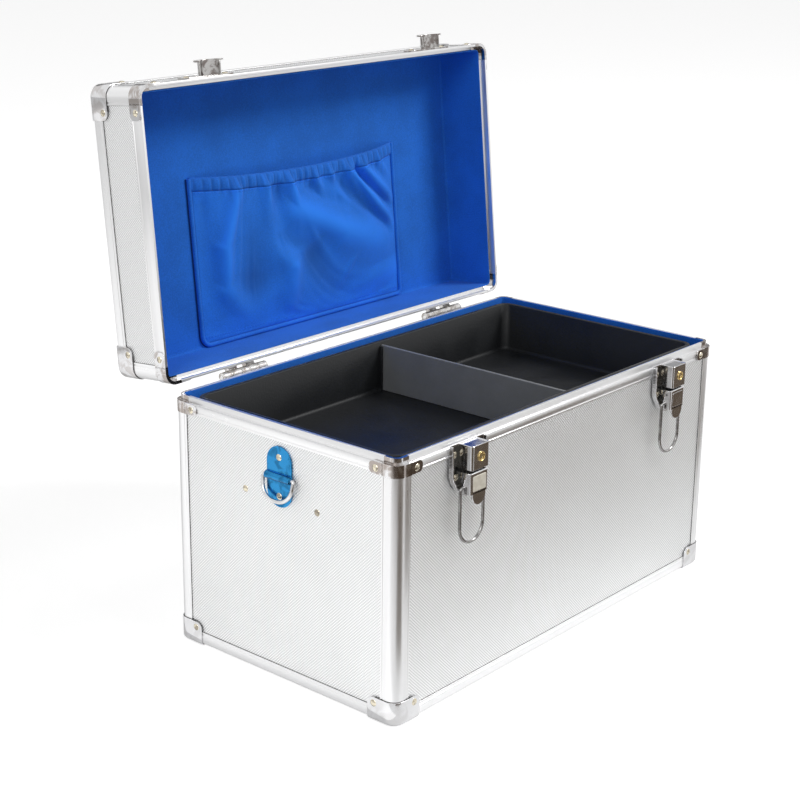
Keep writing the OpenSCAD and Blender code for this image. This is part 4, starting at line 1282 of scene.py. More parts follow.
def swell(u, v):
    """Bulge of the pocket without its folds, as a share of the full bulge."""
    return (1 - u ** 4) * (1 - v ** 2.2) * (0.8 + 0.48 * v)


def fold_rise(u, v):
    """Folds that fan out from the gathered mouth, as a share of the fold height."""
    ridge = hollow = 0.0
    for u0, v0, u1, v1, rise0, rise1, width in FOLDS:
        run, fall = u1 - u0, v1 - v0
        along = ((u - u0) * run + (v - v0) * fall) / (run * run + fall * fall)
        along = min(max(along, 0.0), 1.0)
        off = (u - u0 - run * along) ** 2 + (v - v0 - fall * along) ** 2
        share = (rise0 + (rise1 - rise0) * along) * exp(-off / width ** 2)
        ridge, hollow = max(ridge, share), min(hollow, share)
    return ridge + hollow


def gather_rise(u, v):
    """Short gathers right under the band."""
    wave = sin(31 * pi * u + 1.3 * sin(9 * u)) * (0.7 + 0.3 * sin(17 * u + 1))
    return wave * exp(-v / 0.05)


def pocket_gap(u, v):
    """Distance of the pocket cloth from the lining."""
    edge = min(1.0, 3 * swell(u, v))
    rise = box_settings().fold_height / MM * fold_rise(u, v) + 0.5 * gather_rise(u, v)
    return SEW_GAP + max(0.0, BULGE * swell(u, v) + rise * edge)


def pocket_point(u, v, gap):
    y = MOUTH_Y + v * (POCKET_HIGH.y - MOUTH_Y) + sag_at(u) * (1 - v)
    return Vector((u * POCKET_HALF, y, CEILING_Z - gap))


def pocket_shape(u, v):
    """Place of a point of the pocket cloth, and its share of painted light: highlight on the ridges of folds and
    gathers, shade in their hollows and in a line along the sewn edges.
    """
    edge = min(1 - abs(u), 1 - v) / 0.014
    share = fold_rise(u, v) + 0.5 * gather_rise(u, v) - 1.5 * exp(-edge * edge)
    return pocket_point(u, v, pocket_gap(u, v)), share


def band_shape(u, v):
    """The same for the band, a gathered casing along the mouth, with painted highlight and shade on its gathers.
    """
    height, thickness = 11.0, 2.2
    free = SEW_GAP + BULGE * swell(u, 0)
    gap = free + (pocket_gap(u, 0) - free) * v * v
    pucker = 0.7 * sin(27 * pi * u + 1.4 * sin(7 * u)) + 0.45 * sin(63 * pi * u + 2.3 * sin(5 * u))
    crown = sin(pi * min(max(v, 0.0), 1.0)) ** 0.5
    rise = thickness * (0.15 + 0.6 * crown) + 0.9 * pucker * crown * (1 - u ** 8)
    y = MOUTH_Y - height + v * height + sag_at(u) + 0.4 * pucker * (1 - v)
    return Vector((u * POCKET_HALF, y, CEILING_Z - gap - rise + 0.3)), pucker * crown


def drape(name, node, finish, across, down, shape):
    """Cloth over a grid of shares u and v, which keeps each point's share of painted highlight and shade: piece
    and area.
    """
    bm = bmesh.new()
    bmesh.ops.create_grid(bm, x_segments=across, y_segments=down, size=1)
    shares = []
    for vert in bm.verts:
        place, share = shape(vert.co.x, (vert.co.y + 1) / 2)
        vert.co = LID @ place
        shares.append(share)
    area = sum(f.calc_area() for f in bm.faces) * MM * MM
    piece = add_piece(name, [(bm, BASE)], "lid", finish, [node], smooth=180)
    # The fold attribute holds each point's share of painted highlight and shade
    folds = piece.data.attributes.new("fold", "FLOAT", "POINT")
    for point, share in zip(folds.data, shares):
        point.value = share
    return piece, area


def thicken(piece):
    thick = piece.modifiers.new("Cloth", "SOLIDIFY")
    thick.thickness = CLOTH_T * MM
    thick.offset = 0.0


def settle_cloth(piece, frames, farthest):
    """Lets the cloth settle under its weight, pinned where it is sewn, and keeps the result."""
    rest = [v.co.copy() for v in piece.data.vertices]
    cloth = piece.modifiers.new("Settle", "CLOTH")
    cloth.settings.quality = 6
    cloth.settings.mass = 0.15
    cloth.settings.tension_stiffness = 25
    cloth.settings.compression_stiffness = 12
    cloth.settings.shear_stiffness = 8
    cloth.settings.bending_stiffness = 0.35
    cloth.settings.vertex_group_mass = "sewn"
    cloth.point_cache.frame_start = 1
    cloth.point_cache.frame_end = frames
    scene = bpy.context.scene
    for number in range(1, frames + 1):
        scene.frame_set(number)
    shaped = piece.evaluated_get(bpy.context.evaluated_depsgraph_get())
    settled = [v.co.copy() for v in shaped.data.vertices]
    piece.modifiers.remove(cloth)
    scene.frame_set(1)
    for vert, start, end in zip(piece.data.vertices, rest, settled):
        step = end - start
        vert.co = start + step / (1 + step.length / farthest)


class OBJECT_OT_case_pocket(bpy.types.Operator):
    """Builds the gathered pocket in the lid with its band, welt and stitches"""

    bl_idname = "medicine_box.pocket"
    bl_label = "Pocket"

    def execute(self, context):
        across, down = 150, 72
        # The pocket is the lining's colour made 1.2 times lighter, as painted light
        finish = cloth_finish("pocket_cloth", 1.2, folds=0.8)
        pocket, area = drape(
            "pocket_cloth", "lid_pocket", finish, across, down, pocket_shape,
        )
        sewn = pocket.vertex_groups.new(name="sewn")
        for vert in pocket.data.vertices:
            row, column = divmod(vert.index, across + 1)
            if column in (0, 1, across - 1, across) or row in (0, 1, down - 1, down):
                sewn.add([vert.index], 1.0, "REPLACE")
        settle_cloth(pocket, context.scene.medicine_box.sag_frames, 0.0013)
        pocket.vertex_groups.remove(sewn)
        thicken(pocket)
        smooth = pocket.modifiers.new("Smooth", "SUBSURF")
        smooth.levels = smooth.render_levels = 1

        finish = cloth_finish("band_cloth", folds=0.4)
        band, _ = drape("pocket_elastic", "pocket_band", finish, 220, 8, band_shape)
        thicken(band)
        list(self.welt())
        self.stitches()
        return {"FINISHED"}

    def welt(self):
        """Piped edge down both sides and along the foot, and beside it a dark line of painted shadow from the
        bead.
        """
        bead, seam = 1.8, 0.7
        half, foot = POCKET_HALF + 0.8, POCKET_HIGH.y + 0.6
        pieces = []
        for name, x, y, z, radii, wire_r, tone in (
            ("pocket_welt", half, foot, CEILING_Z - bead * 0.8, (9, 4), bead, 1.1),
            # The second wire is a dark line that paints the shadow of the bead
            ("pocket_seam_shadow", half + bead, foot + bead, CEILING_Z - 0.3, (10.5, 5.5), seam, 0.25),
        ):
            top = MOUTH_Y - 10
            line = [(-x, top, z), (-x, y, z, radii[0]), (x, y, z, radii[1]), (x, top, z)]
            pieces.append(add_piece(
                name, [(wire(line, wire_r), LID)], "lid", cloth_finish(name, tone), smooth=60,
            ))
        return pieces

    def stitches(self):
        """Rows of stitches under the band and above the foot."""
        pitch, length, thin = 3.0, 1.0, 0.28
        parts = []
        count = int(2 * POCKET_HALF / pitch) - 2
        for v in (0.012, 0.955):
            for index in range(count):
                u = -1 + 2 * (index + 1.5) / (count + 2)
                bm = bmesh.new()
                bmesh.ops.create_icosphere(bm, subdivisions=1, radius=1)
                bmesh.ops.scale(bm, verts=bm.verts[:], vec=(length, thin, thin))
                place = pocket_point(u, v, pocket_gap(u, v) + 0.7)
                parts.append((bm, LID @ Matrix.Translation(place)))
        return add_piece(
            "pocket_stitches", parts, "lid", cloth_finish("stitch_thread", 1.3), smooth=180,
        )


class OBJECT_OT_case_tray(bpy.types.Operator):
    """Builds the moulded tray and its divider, and gives the supports under it their finish"""

    bl_idname = "medicine_box.tray"
    bl_label = "Tray"

    def execute(self, context):
        edge_w, edge_d = TRAY_HIGH.x, TRAY_HIGH.y
        half_w, half_d = edge_w - 2, edge_d - 2
        in_w, in_d = half_w - TRAY_T, half_d - TRAY_T
        low, high = TRAY_LOW.z, TRAY_HIGH.z
        floor = low + TRAY_T
        levels = [
            (half_w - 1.5, half_d - 1.5, 7.5, low), (half_w, half_d, 9, low + 1.5),
            (half_w, half_d, 9, high - 3.0), (half_w + 0.2, half_d + 0.2, 9.2, high - 2.7),
            (edge_w - 0.2, edge_d - 0.2, 10.8, high - 2.7), (edge_w, edge_d, 11, high - 2.4),
            (edge_w, edge_d, 11, high - 0.5), (edge_w - 0.5, edge_d - 0.5, 10.5, high),
            (in_w + 0.6, in_d + 0.6, 7.6, high), (in_w, in_d, 7, high - 0.6),
            (in_w - 0.25, in_d - 0.25, 7, floor + 3.0), (in_w - 0.9, in_d - 0.9, 6.5, floor + 1.0),
            (in_w - 3.0, in_d - 3.0, 5, floor), (in_w - 5.0, in_d - 5.0, 4, floor),
        ]
        parts = [(ring_shell(levels, 8), BASE)]
        middle = (DIVIDER_LOW + DIVIDER_HIGH) / 2
        size = DIVIDER_HIGH - DIVIDER_LOW
        guide_t, guide_w, guide_gap = 1.6, 3.0, 0.3
        for sx in ENDS:
            for sy in ENDS:
                bar = plate(rectangle(guide_t, guide_w, 0.4), high - floor - 4, 0.3)
                x = middle.x + sx * (size.x / 2 + guide_gap + guide_t / 2)
                parts.append((bar, shift(x, sy * (in_d - guide_w / 2), floor)))
        tray = plastic_finish("tray_plastic", box_settings().tray_colour, 0.38, 0.0016, 0.35)
        add_piece("tray_moulding", parts, "tray", tray, ["tray"], smooth=50)

        wall = pull(outline_face(rectangle(size.y, size.z, 0.6), 3), size.x)
        soften(wall, 0.9, 3)
        place = shift(DIVIDER_LOW.x, 0, middle.z) @ along_x()
        # The divider is the tray's black plastic painted grey, as painted light and reflection on its face
        divider = plastic_finish("divider_lit_plastic", (0.2, 0.208, 0.218), 0.42, 0.0016, 0.35)
        add_piece("divider_wall", [(wall, place)], "tray", divider, ["tray_divider"])
        finish_node("tray_supports", aluminium_finish("Y"))
        return {"FINISHED"}


def at_latch(side):
    return shift(side * LATCH_X, -CASE_D / 2)


class OBJECT_OT_case_latches(bpy.types.Operator):
    """Builds the latch plates, levers, bails and locks"""

    bl_idname = "medicine_box.latches"
    bl_label = "Latches"

    def execute(self, context):
        # A dark sheet of painted shade for the dished middle of each latch plate
        recess_shade = metal_finish("recess_shade", (0.15, 0.15, 0.14), (0.05, 0.05, 0.045), 0.25, False, 0.004, 0.9)
        # The left lever's pad is a light satin, a painted reflection of a white surround; the right one is chrome
        white_reflection = metal_finish("lever_pad_reflection", (0.74, 0.71, 0.63), (0.6, 0.56, 0.47), 0.55, False, 0.006, 0.5)
        chrome = chrome_finish()
        for side, name in HANDS:
            place = at_latch(side)
            key = joint_place("key_%s_turn" % name)
            lock_place = shift(key.x, LOCK_HIGH.y, key.z) @ FACING_OUT
            for word, body, slot, finish, parts, node in (
                ("latch_body", "base", "pressed_chrome", chrome, self.plate_parts(place), "latch_plate"),
                ("latch_recess_shade", "base", "pressed_chrome", recess_shade, self.recess(place), None),
                ("lever", "lever", "pressed_chrome", chrome, self.lever_parts(place), "latch_lever"),
                ("lever_pad", "lever", "pressed_chrome", white_reflection if side < 0 else chrome, self.pad(place), None),
                ("bail", "bail", "pressed_chrome", wire_finish(), self.bail(name), "latch_bail"),
                ("lock", "key", "lock_brass", brass_finish(), [(self.lock(), lock_place)], "lock_cylinder"),
            ):
                add_piece(
                    "%s_%s" % (word, name), parts, body if body == "base" else "%s_%s" % (body, name),
                    finish, ["%s_%s" % (node, name)] if node else (), smooth=60 if word == "bail" else 20,
                )
        finish_node("latch_pins", chrome)
        return {"FINISHED"}

    def outline(self, inset):
        """Outline of a latch plate, drawn in from its edge."""
        half, top, low = LATCH_W / 2 - inset, LATCH_TOP - inset, PLATE_LOW.z + inset
        foot = 9 - inset * 0.7
        return [
            (-half, top), (half, top), (half, LATCH_TAPER_Z, 3), (foot, low, 7 - inset),
            (-foot, low, 7 - inset), (-half, LATCH_TAPER_Z, 3),
        ]

    def recess(self, place):
        """Dark sheet of painted shade in the dished middle of a latch plate."""
        film = plate(self.outline(LATCH_T + 0.5), 0.1, 0.03)
        return [(film, place @ shift(y=-LATCH_T + 0.02) @ FACING_OUT)]

    def plate_parts(self, place):
        """Plate with turned edges, the cover of the lock and the ears of the lever."""
        clear, ear_r, ear_gap, roof_t = 0.05, 2.6, 0.4, 0.9
        back = pull(outline_face(self.outline(0), 5), LATCH_T)
        front = max(back.faces, key=lambda f: f.calc_center_median().z)
        inset = bmesh.ops.inset_region(back, faces=[front], thickness=LATCH_T, depth=0)
        rim = [f for f in inset["faces"] if f.calc_center_median().y < LATCH_TOP - LATCH_T]
        push(back, rim, (0, 0, LATCH_LIP - LATCH_T))
        soften(back, 0.3, 2, 50)
        wall = COVER_W / 2
        cover = bent_sheet(
            [(-wall, LATCH_T / 2), (-wall, COVER_OUT, 2.2), (wall, COVER_OUT, 2.2), (wall, LATCH_T / 2)],
            LATCH_TOP - COVER_LOW, LATCH_T, (0, 5), 5, 0.25,
        )
        roof = plate(rectangle(COVER_W - 1.6, COVER_OUT - LATCH_T - 0.8, 1.0), roof_t, 0.2)
        parts = [
            (back, place @ shift(y=-clear) @ FACING_OUT),
            (cover, place @ shift(z=COVER_LOW) @ MIRROR_Y),
            (roof, place @ shift(y=-(COVER_OUT + LATCH_T) / 2 + 0.4, z=LATCH_TOP - 1.4)),
        ]
        pivot = joint_place("lever_left_swing")
        low, high, out = pivot.z - ear_r, pivot.z + ear_r, ahead(pivot.y) + ear_r
        for x in ENDS:
            ear = plate(
                [(LATCH_T / 2, low), (out, low, ear_r - 0.05), (out, high, ear_r - 0.05), (LATCH_T / 2, high)],
                LATCH_T, 0.2,
            )
            ear.transform(along_x(LATCH_T))
            parts.append((ear, place @ shift(x * (wall - LATCH_T * 1.5 - ear_gap)) @ MIRROR_Y))
        return parts

    def lever_parts(self, place):
        """Folded lever with a rounded tip and a rolled lip at its upper edge."""
        half = COVER_W / 2
        front, back = ahead(LEVER_LOW.y), ahead(LEVER_HIGH.y)
        low, high = LEVER_LOW.z, LEVER_HIGH.z
        shell = bent_sheet(
            [(-half, back), (-half, front, 1.8), (half, front, 1.8), (half, back)],
            high - LEVER_SIDE_LOW, LATCH_T, (0, back), 4, 0.3,
        )
        tip_r, tip_top = 7.5, LEVER_SIDE_LOW + 2
        tip = plate(
            [(-tip_r, tip_top), (-tip_r, low, tip_r - 0.1), (tip_r, low, tip_r - 0.1), (tip_r, tip_top)],
            LATCH_T, 0.35, 8,
        )
        lip_r, lip_x, lip_y = 0.65, half - 0.9, -front + 0.7
        lip = wire([(-lip_x, lip_y, high), (lip_x, lip_y, high)], lip_r)
        return [
            (shell, place @ shift(z=LEVER_SIDE_LOW) @ MIRROR_Y),
            (tip, place @ (shift(y=-(front - LATCH_T)) @ FACING_OUT)), (lip, place),
        ]

    def pad(self, place):
        """Raised pad on the front of a lever."""
        margin, rise, sunk = 2.6, 0.3, 0.1
        width, height = COVER_W - 2 * margin, LEVER_HIGH.z - LEVER_SIDE_LOW - 1.7 * margin
        middle = (LEVER_HIGH.z + LEVER_SIDE_LOW) / 2
        pad = plate(rectangle(width, height, 1.0), rise, 0.12)
        return [(pad, place @ shift(y=-ahead(LEVER_LOW.y) + sunk, z=middle) @ FACING_OUT)]

    def bail(self, name):
        """Wire loop that hangs from the lever and hooks over the keeper."""
        low, high = node_box("latch_bail_" + name)
        x, y, z = joint_place("bail_%s_swing" % name)
        radius = high.z - z
        half = (high.x - low.x) / 2 - radius
        foot = low.z + radius
        inner = COVER_W / 2 - LATCH_T
        bend, foot_bend = 1.4, half - 0.05
        line = [
            (x - inner, y, z), (x - half, y, z, bend), (x - half, y, foot, foot_bend),
            (x + half, y, foot, foot_bend), (x + half, y, z, bend), (x + inner, y, z),
        ]
        return [(wire(line, radius, steps=14), BASE)]

    def lock(self):
        """Lock cylinder with a keyhole, facing z."""
        radius, length = 3.7, 8.4
        bm = pull(disc(radius, 32), length)
        front = max(bm.faces, key=lambda f: f.calc_center_median().z)
        for thickness, depth in ((0.7, 0), (0.3, -0.35), (1.4, 0)):
            bmesh.ops.inset_region(bm, faces=[front], thickness=thickness, depth=depth)
        for vert in front.verts:
            if vert.co.y < 0:
                vert.co.x *= 0.6
                vert.co.y -= 1.0
        bmesh.ops.inset_region(bm, faces=[front], thickness=0.12, depth=-2.2)
        return soften(bm, 0.12, 2, 50)


class OBJECT_OT_case_keepers(bpy.types.Operator):
    """Builds the keepers on the front of the lid that the bails hook over"""

    bl_idname = "medicine_box.keepers"
    bl_label = "Keepers"

    def execute(self, context):
        # Plated steel darker than the chrome, with dark brown blotches: painted shade for the inside of the hood
        steel = metal_finish("keeper_steel", (0.5, 0.49, 0.48), (0.13, 0.1, 0.09), 0.14, True, 0.006, 0.8)
        for side, name in HANDS:
            parts = [(part, LID @ at_latch(side) @ place) for part, place in self.parts()]
            add_piece("keeper_plate_" + name, parts, "lid", steel, ["keeper_" + name])
        return {"FINISHED"}

    def parts(self):
        """Plate of a keeper and the flanged hood on it."""
        plate_w, plate_h = KEEPER_HIGH.x - KEEPER_LOW.x, 12.4
        out = ahead(KEEPER_LOW.y)
        hood_r, hood_z, cut_z, lip = 11.7, 197.75, 201.0, 3.0
        back = plate(rectangle(plate_w, plate_h, 3), LATCH_T, 0.3)
        parts = [(back, FACING_OUT @ shift(y=KEEPER_LOW.z + plate_h / 2))]
        for radius, depth, start in (
            (hood_r, out - LATCH_T / 2, LATCH_T / 2), (hood_r + lip, LATCH_T, out - LATCH_T),
        ):
            angle = asin((cut_z - hood_z) / radius)
            bm = bmesh.new()
            verts, edges = chain(bm, [(r * cos(angle), r * sin(angle), 0) for r in (hood_r - LATCH_T, radius)])
            bmesh.ops.spin(
                bm, geom=verts + edges, cent=(0, 0, 0), axis=(0, 0, 1), angle=pi - 2 * angle, steps=20,
            )
            parts.append((soften(pull(bm, depth), 0.3, 2, 50), FACING_OUT @ shift(y=hood_z, z=start)))
        return parts


def saddle(width, bar_out, bar_r):
    """Half-round saddle over a bar, along x, standing on z = 0 of its plate."""
    bar_gap = 0.06
    outer = bar_r + bar_gap + TUNNEL_WALL
    top = bar_out + outer
    bm = bent_sheet(
        [(-outer, 0), (-outer, top, outer - 0.02), (outer, top, outer - 0.02), (outer, 0)],
        width, TUNNEL_WALL, (0, bar_out), 8, 0.3,
    )
    bm.transform(along_x(width))
    return bm


class OBJECT_OT_case_strap_rings(bpy.types.Operator):
    """Builds the blue strap plates on the sides and their rings"""

    bl_idname = "medicine_box.strap_rings"
    bl_label = "Strap rings"

    def execute(self, context):
        width = STRAP_HIGH.y - STRAP_LOW.y
        height = STRAP_HIGH.z - STRAP_LOW.z
        wire_r, ring_depth, bend, foot_gap = 1.5, 18, 1.6, 1.7
        bar_out = wire_r + 0.4
        lean = radians(12)
        half = width / 2 + 1 + wire_r
        for side, name in ((3, "left"), (1, "right")):
            face = on_side(side) @ shift(y=SKIN, z=STRAP_Z)
            back = plate(rectangle(width, height, width / 2 - 0.05), STRAP_T, 0.45, 10)
            upright = face @ FACING_OUT
            add_piece(
                "strap_plate_" + name, [(back, upright), (saddle(width - 0.5, bar_out, wire_r), upright)],
                "base", blue_metal_finish(), ["strap_bracket_" + name],
            )
            line = [
                (-half, 0, 0, bend), (-half, 0, -ring_depth, half - foot_gap),
                (half, 0, -ring_depth, half - foot_gap), (half, 0, 0, bend),
            ]
            ring = wire(line, wire_r, cyclic=True, steps=14)
            hang = face @ shift(y=-bar_out) @ Matrix.Rotation(-lean, 4, "X")
            add_piece(
                "ring_" + name, [(ring, hang)], "ring_" + name, chrome_finish(),
                ["strap_ring_" + name], smooth=60,
            )
        return {"FINISHED"}


class OBJECT_OT_case_hinges(bpy.types.Operator):
    """Builds the leaves and knuckles of the hinges"""

    bl_idname = "medicine_box.hinges"
    bl_label = "Hinges"

    def execute(self, context):
        for side, name in HANDS:
            for up, body, stand in ((-1, "base", BASE), (1, "lid", LID)):
                steel = metal_finish("hinge_steel", (0.6, 0.59, 0.58), (0.2, 0.16, 0.13), 0.16, up > 0, 0.006)
                add_piece(
                    "hinge_leaf_%s_%s" % (body, name),
                    [(part, stand @ shift(side * HINGE_X) @ place) for part, place in self.leaf(up)],
                    body, steel, ["hinge_%s_leaf_%s" % (body, name)],
                )
        finish_node("hinge_pins", chrome_finish())
        return {"FINISHED"}

    def leaf(self, up):
        """Leaf of the base or the lid, with its share of the knuckles on webs."""
        leaf_h, near, web_near, knuckles = 28.0, 3.3, 6.5, 5
        radius, knuckle_gap = 4.0, 0.3
        rear = CASE_D / 2
        step = HINGE_W / knuckles
        length = step - knuckle_gap
        flap = plate(rectangle(HINGE_W, leaf_h, 3), LEAF_T, 0.35)
        turn = Matrix.Rotation(pi, 4, "Z") @ FACING_OUT
        parts = [(flap, shift(0, rear, HINGE.z + up * (near + leaf_h / 2)) @ turn)]
        web = [
            (rear, HINGE.z + up * web_near), (rear + LEAF_T, HINGE.z + up * (web_near + LEAF_T)),
            (HINGE.y + radius * 0.5, HINGE.z + up * radius * 0.8), (HINGE.y, HINGE.z),
            (HINGE.y - radius * 0.3, HINGE.z), (rear, HINGE.z + up * near),
        ]
        for index in range(1 if up > 0 else 0, knuckles, 2):
            middle = (index + 0.5) * step - HINGE_W / 2
            arm = pull(outline_face(web), length)
            barrel = soften(pull(disc(radius, 28), length), 0.35)
            for part, place in ((arm, shift(middle)), (barrel, shift(middle, HINGE.y, HINGE.z))):
                part.transform(along_x(length))
                parts.append((part, place))
        return parts


class OBJECT_OT_case_handle(bpy.types.Operator):
    """Builds the folding handle on top of the lid and its saddles"""

    bl_idname = "medicine_box.handle"
    bl_label = "Handle"

    def execute(self, context):
        width, length = 20.0, SADDLE_HIGH.y - SADDLE_LOW.y
        saddle_x = SADDLE_HIGH.x - width / 2
        wire_r, half, leg, bend, grip_r = 2.5, 52.0, 32.0, 3.2, 8.5
        up = wire_r + 0.6
        parts = []
        for end in ENDS:
            place = LID @ shift(end * saddle_x, 0, LID_TOP - SKIN)
            foot = plate(rectangle(width, length, 4), STRAP_T, 0.35)
            parts += [(foot, place), (saddle(width, up, wire_r), place)]
        add_piece("handle_saddles", parts, "lid", chrome_finish(True), ["handle_brackets"])
        pivot = LID.inverted() @ joint_place("handle_swing")
        fold = asin((grip_r + 0.5 - up) / leg)
        fold_place = LID @ shift(0, 0, pivot.z) @ Matrix.Rotation(fold, 4, "X")
        end_x = half + 0.6 + width + wire_r
        line = [
            (-end_x, 0, 0), (-half, 0, 0, bend), (-half, leg, 0, bend), (half, leg, 0, bend),
            (half, 0, 0, bend), (end_x, 0, 0),
        ]
        add_piece(
            "handle_wire", [(wire(line, wire_r, steps=6), fold_place)], "handle",
            chrome_finish(True), ["handle_bail"], smooth=60,
        )
        grip = self.grip(half * 2 - 2 * wire_r - 2, grip_r, wire_r)
        plastic = plastic_finish("grip_plastic", box_settings().grip_colour, 0.5, 0.0014, 0.5, True)
        add_piece(
            "handle_grip_sleeve", [(grip, fold_place @ shift(y=leg))], "handle", plastic,
            ["handle_grip"], smooth=60,
        )
        return {"FINISHED"}

    def grip(self, length, radius, bore):
        """Sleeve with shallow finger grooves, along x."""
        steps, fingers, groove_depth = 48, 4, 0.45
        points = [(-length / 2, bore + 0.1, 0)]
        for index in range(steps + 1):
            t = index / steps
            taper = min(1.0, (min(t, 1 - t) * length / 3) ** 0.5)
            groove = groove_depth * (1 - cos(2 * pi * fingers * t)) if 0.03 < t < 0.97 else 0.0
            points.append(((t - 0.5) * length, radius * (0.8 + 0.2 * taper) - groove, 0))
        points.append((length / 2, bore + 0.1, 0))
        bm = bmesh.new()
        verts, edges = chain(bm, points, True)
        bmesh.ops.spin(
            bm, geom=verts + edges, cent=(0, 0, 0), axis=(1, 0, 0), angle=2 * pi, steps=32, use_merge=True,
        )
        return merge(bm)


# Stage


def camera_matrix(stage):
    """Camera placed by azimuth, elevation and roll."""
    azimuth, elevation, roll = stage.camera_azimuth, stage.camera_elevation, stage.camera_roll
    back = Vector((sin(azimuth) * cos(elevation), -cos(azimuth) * cos(elevation), sin(elevation)))
    right = Vector((cos(azimuth), sin(azimuth), 0))
    up = back.cross(right)
    level = Matrix((right, up, back)).transposed()
    return Matrix.Translation(stage.camera_place) @ (level @ Matrix.Rotation(roll, 3, "Z")).to_4x4()


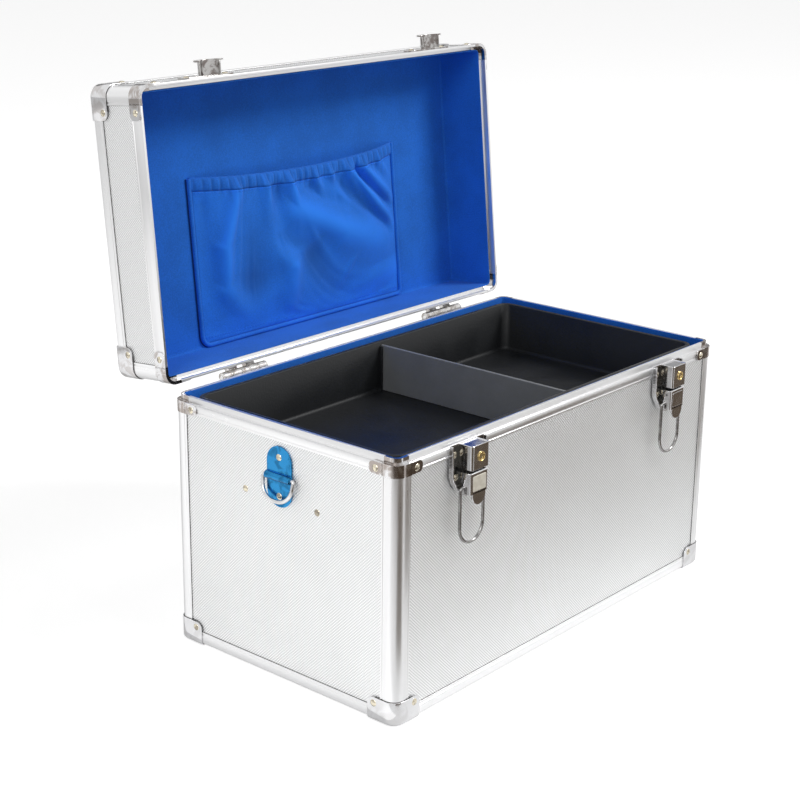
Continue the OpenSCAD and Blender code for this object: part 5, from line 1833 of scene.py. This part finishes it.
class OBJECT_OT_case_stage(bpy.types.Operator):
    """Builds the floor, the reflecting cards, the light and the camera"""

    bl_idname = "medicine_box.stage"
    bl_label = "Stage"

    def execute(self, context):
        stage = context.scene.medicine_box_stage
        self.camera(context.scene, stage)
        self.surround(context.scene, stage)
        self.floor()
        dark, white, grey = (0.16, 0.125, 0.095), (0.9, 0.9, 0.9), (0.5, 0.5, 0.51)
        self.card("dark_card_front", [(-0.06, -0.27), (0.2, -0.8), (0.95, -0.8), (0.8, -0.27)], dark, 0.0)
        self.card("dark_card_corner", [
            (-0.27, -0.2), (-0.45, -0.45), (-0.8, -0.15), (-1.7, -0.3), (-1.5, -1.7), (0.4, -1.9), (-0.17, -0.22),
        ], dark, 0.0)
        self.card("white_card_left", [
            (-0.213, -0.13), (-0.213, 0.35), (-0.9, 1.5), (-2.0, 1.2), (-1.6, 0.0), (-0.75, -0.05),
        ], white, 0.68)
        behind = Matrix.Rotation(radians(-40), 4, "Z") @ shift(y=1.6) @ FACING_OUT
        self.card("grey_card_rear", [(-0.9, 0.55), (0.9, 0.55), (0.9, 1.25), (-0.9, 1.25)], grey, 0.0, behind)
        self.lamps(context.scene, stage)
        context.scene.view_settings.view_transform = "Standard"
        return {"FINISHED"}

    def camera(self, scene, stage):
        data = bpy.data.cameras.new("camera")
        data.lens = stage.lens
        data.sensor_width = 36
        data.shift_x = stage.shift_x
        data.shift_y = stage.shift_y
        data.clip_end = 30
        camera = bpy.data.objects.new("camera", data)
        camera.matrix_world = camera_matrix(stage)
        scene.collection.objects.link(camera)
        scene.camera = camera

    def surround(self, scene, stage):
        """White where the camera, gloss or glass looks, and a soft even light otherwise."""
        world = bpy.data.worlds.new("surround")
        scene.world = world
        world.use_nodes = True
        tree = world.node_tree
        rays = add_node(tree, "ShaderNodeLightPath").outputs
        seen = maths(tree, "MAXIMUM", rays["Is Camera Ray"], rays["Is Glossy Ray"])
        seen = maths(tree, "MAXIMUM", seen, rays["Is Transmission Ray"])
        strength = maths(tree, "MULTIPLY_ADD", seen, 1.0 - stage.surround, stage.surround)
        set_inputs(tree, tree.nodes["Background"], {"Color": (1, 1, 1, 1), "Strength": strength})

    def paper(self, item, colour, roughness, gloss, glow):
        """Gives a stage object its paper, which shines by itself as much as glow says."""
        material = bpy.data.materials.new(item.name + "_paper")
        material.use_nodes = True
        tree = material.node_tree
        shader = tree.nodes["Principled BSDF"]
        set_inputs(tree, shader, {
            "Base Color": shade(colour), "Roughness": roughness, "Specular IOR Level": gloss,
            "Emission Color": (1, 1, 1, 1), "Emission Strength": glow,
        })
        item.data.materials.append(material)
        return tree, shader

    def floor(self):
        bm = bmesh.new()
        bmesh.ops.create_grid(bm, x_segments=1, y_segments=1, size=30.0)
        floor = place_mesh("floor", bm)
        floor.location.z = -0.0002
        tree, shader = self.paper(floor, (0.8, 0.8, 0.8), 0.9, 0.1, 0.0)
        rays = add_node(tree, "ShaderNodeLightPath").outputs
        gloss = maths(tree, "MAXIMUM", rays["Is Glossy Ray"], rays["Is Transmission Ray"])
        seen = maths(tree, "MULTIPLY", rays["Is Camera Ray"], 0.65)
        connect(tree, maths(tree, "MULTIPLY_ADD", gloss, 0.3, seen), shader.inputs["Emission Strength"])

    def card(self, name, corners, colour, glow, place=BASE):
        """Card that only gloss can see, lying on the floor unless it is given a place."""
        bm = outline_face(corners)
        bm.transform(place)
        card = place_mesh(name, bm)
        card.location.z = 0.0005
        card.visible_camera = card.visible_diffuse = False
        card.visible_shadow = card.visible_transmission = False
        self.paper(card, colour, 1.0, 0.0, glow)

    def lamps(self, scene, stage):
        for name, place, size, power in (
            ("key", (1.5, -1.8, 2.6), 1.1, stage.key_power),
            ("fill", (-2.6, -1.0, 1.9), 1.2, stage.key_power * 0.28),
        ):
            data = bpy.data.lights.new(name, "AREA")
            data.energy = power
            data.size = size
            lamp = bpy.data.objects.new(name, data)
            lamp.location = place
            aim = Vector((0, 0, 0.2)) - Vector(place)
            lamp.rotation_euler = aim.to_track_quat("-Z", "Y").to_euler()
            scene.collection.objects.link(lamp)


PIECE_OPERATORS = (
    OBJECT_OT_case_boards,
    OBJECT_OT_case_posts,
    OBJECT_OT_case_rails,
    OBJECT_OT_case_rims,
    OBJECT_OT_case_corner_caps,
    OBJECT_OT_case_rim_corners,
    OBJECT_OT_case_rivets,
    OBJECT_OT_case_linings,
    OBJECT_OT_case_pocket,
    OBJECT_OT_case_tray,
    OBJECT_OT_case_latches,
    OBJECT_OT_case_keepers,
    OBJECT_OT_case_strap_rings,
    OBJECT_OT_case_hinges,
    OBJECT_OT_case_handle,
    OBJECT_OT_case_stage,
)


class VIEW3D_PT_medicine_box(bpy.types.Panel):
    """Lists the settings and the pieces of the medicine box"""

    bl_idname = "VIEW3D_PT_medicine_box"
    bl_label = "Medicine Box"
    bl_space_type = "VIEW_3D"
    bl_region_type = "UI"
    bl_category = "Medicine Box"

    def draw(self, context):
        layout = self.layout
        for settings in (context.scene.medicine_box, context.scene.medicine_box_stage):
            for name in settings.__annotations__:
                layout.prop(settings, name)
        for operator in PIECE_OPERATORS:
            layout.operator(operator.bl_idname)


CLASSES = (MedicineBoxSettings, MedicineBoxStage, *PIECE_OPERATORS, VIEW3D_PT_medicine_box)


def register():
    for cls in CLASSES:
        bpy.utils.register_class(cls)
    bpy.types.Scene.medicine_box = PointerProperty(type=MedicineBoxSettings)
    bpy.types.Scene.medicine_box_stage = PointerProperty(type=MedicineBoxStage)


def unregister():
    del bpy.types.Scene.medicine_box_stage
    del bpy.types.Scene.medicine_box
    for cls in reversed(CLASSES):
        bpy.utils.unregister_class(cls)


def main():
    register()
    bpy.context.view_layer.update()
    for operator in PIECE_OPERATORS:
        group, name = operator.bl_idname.split(".")
        getattr(getattr(bpy.ops, group), name)()
    bpy.context.view_layer.update()


if __name__ == "__main__":
    main()
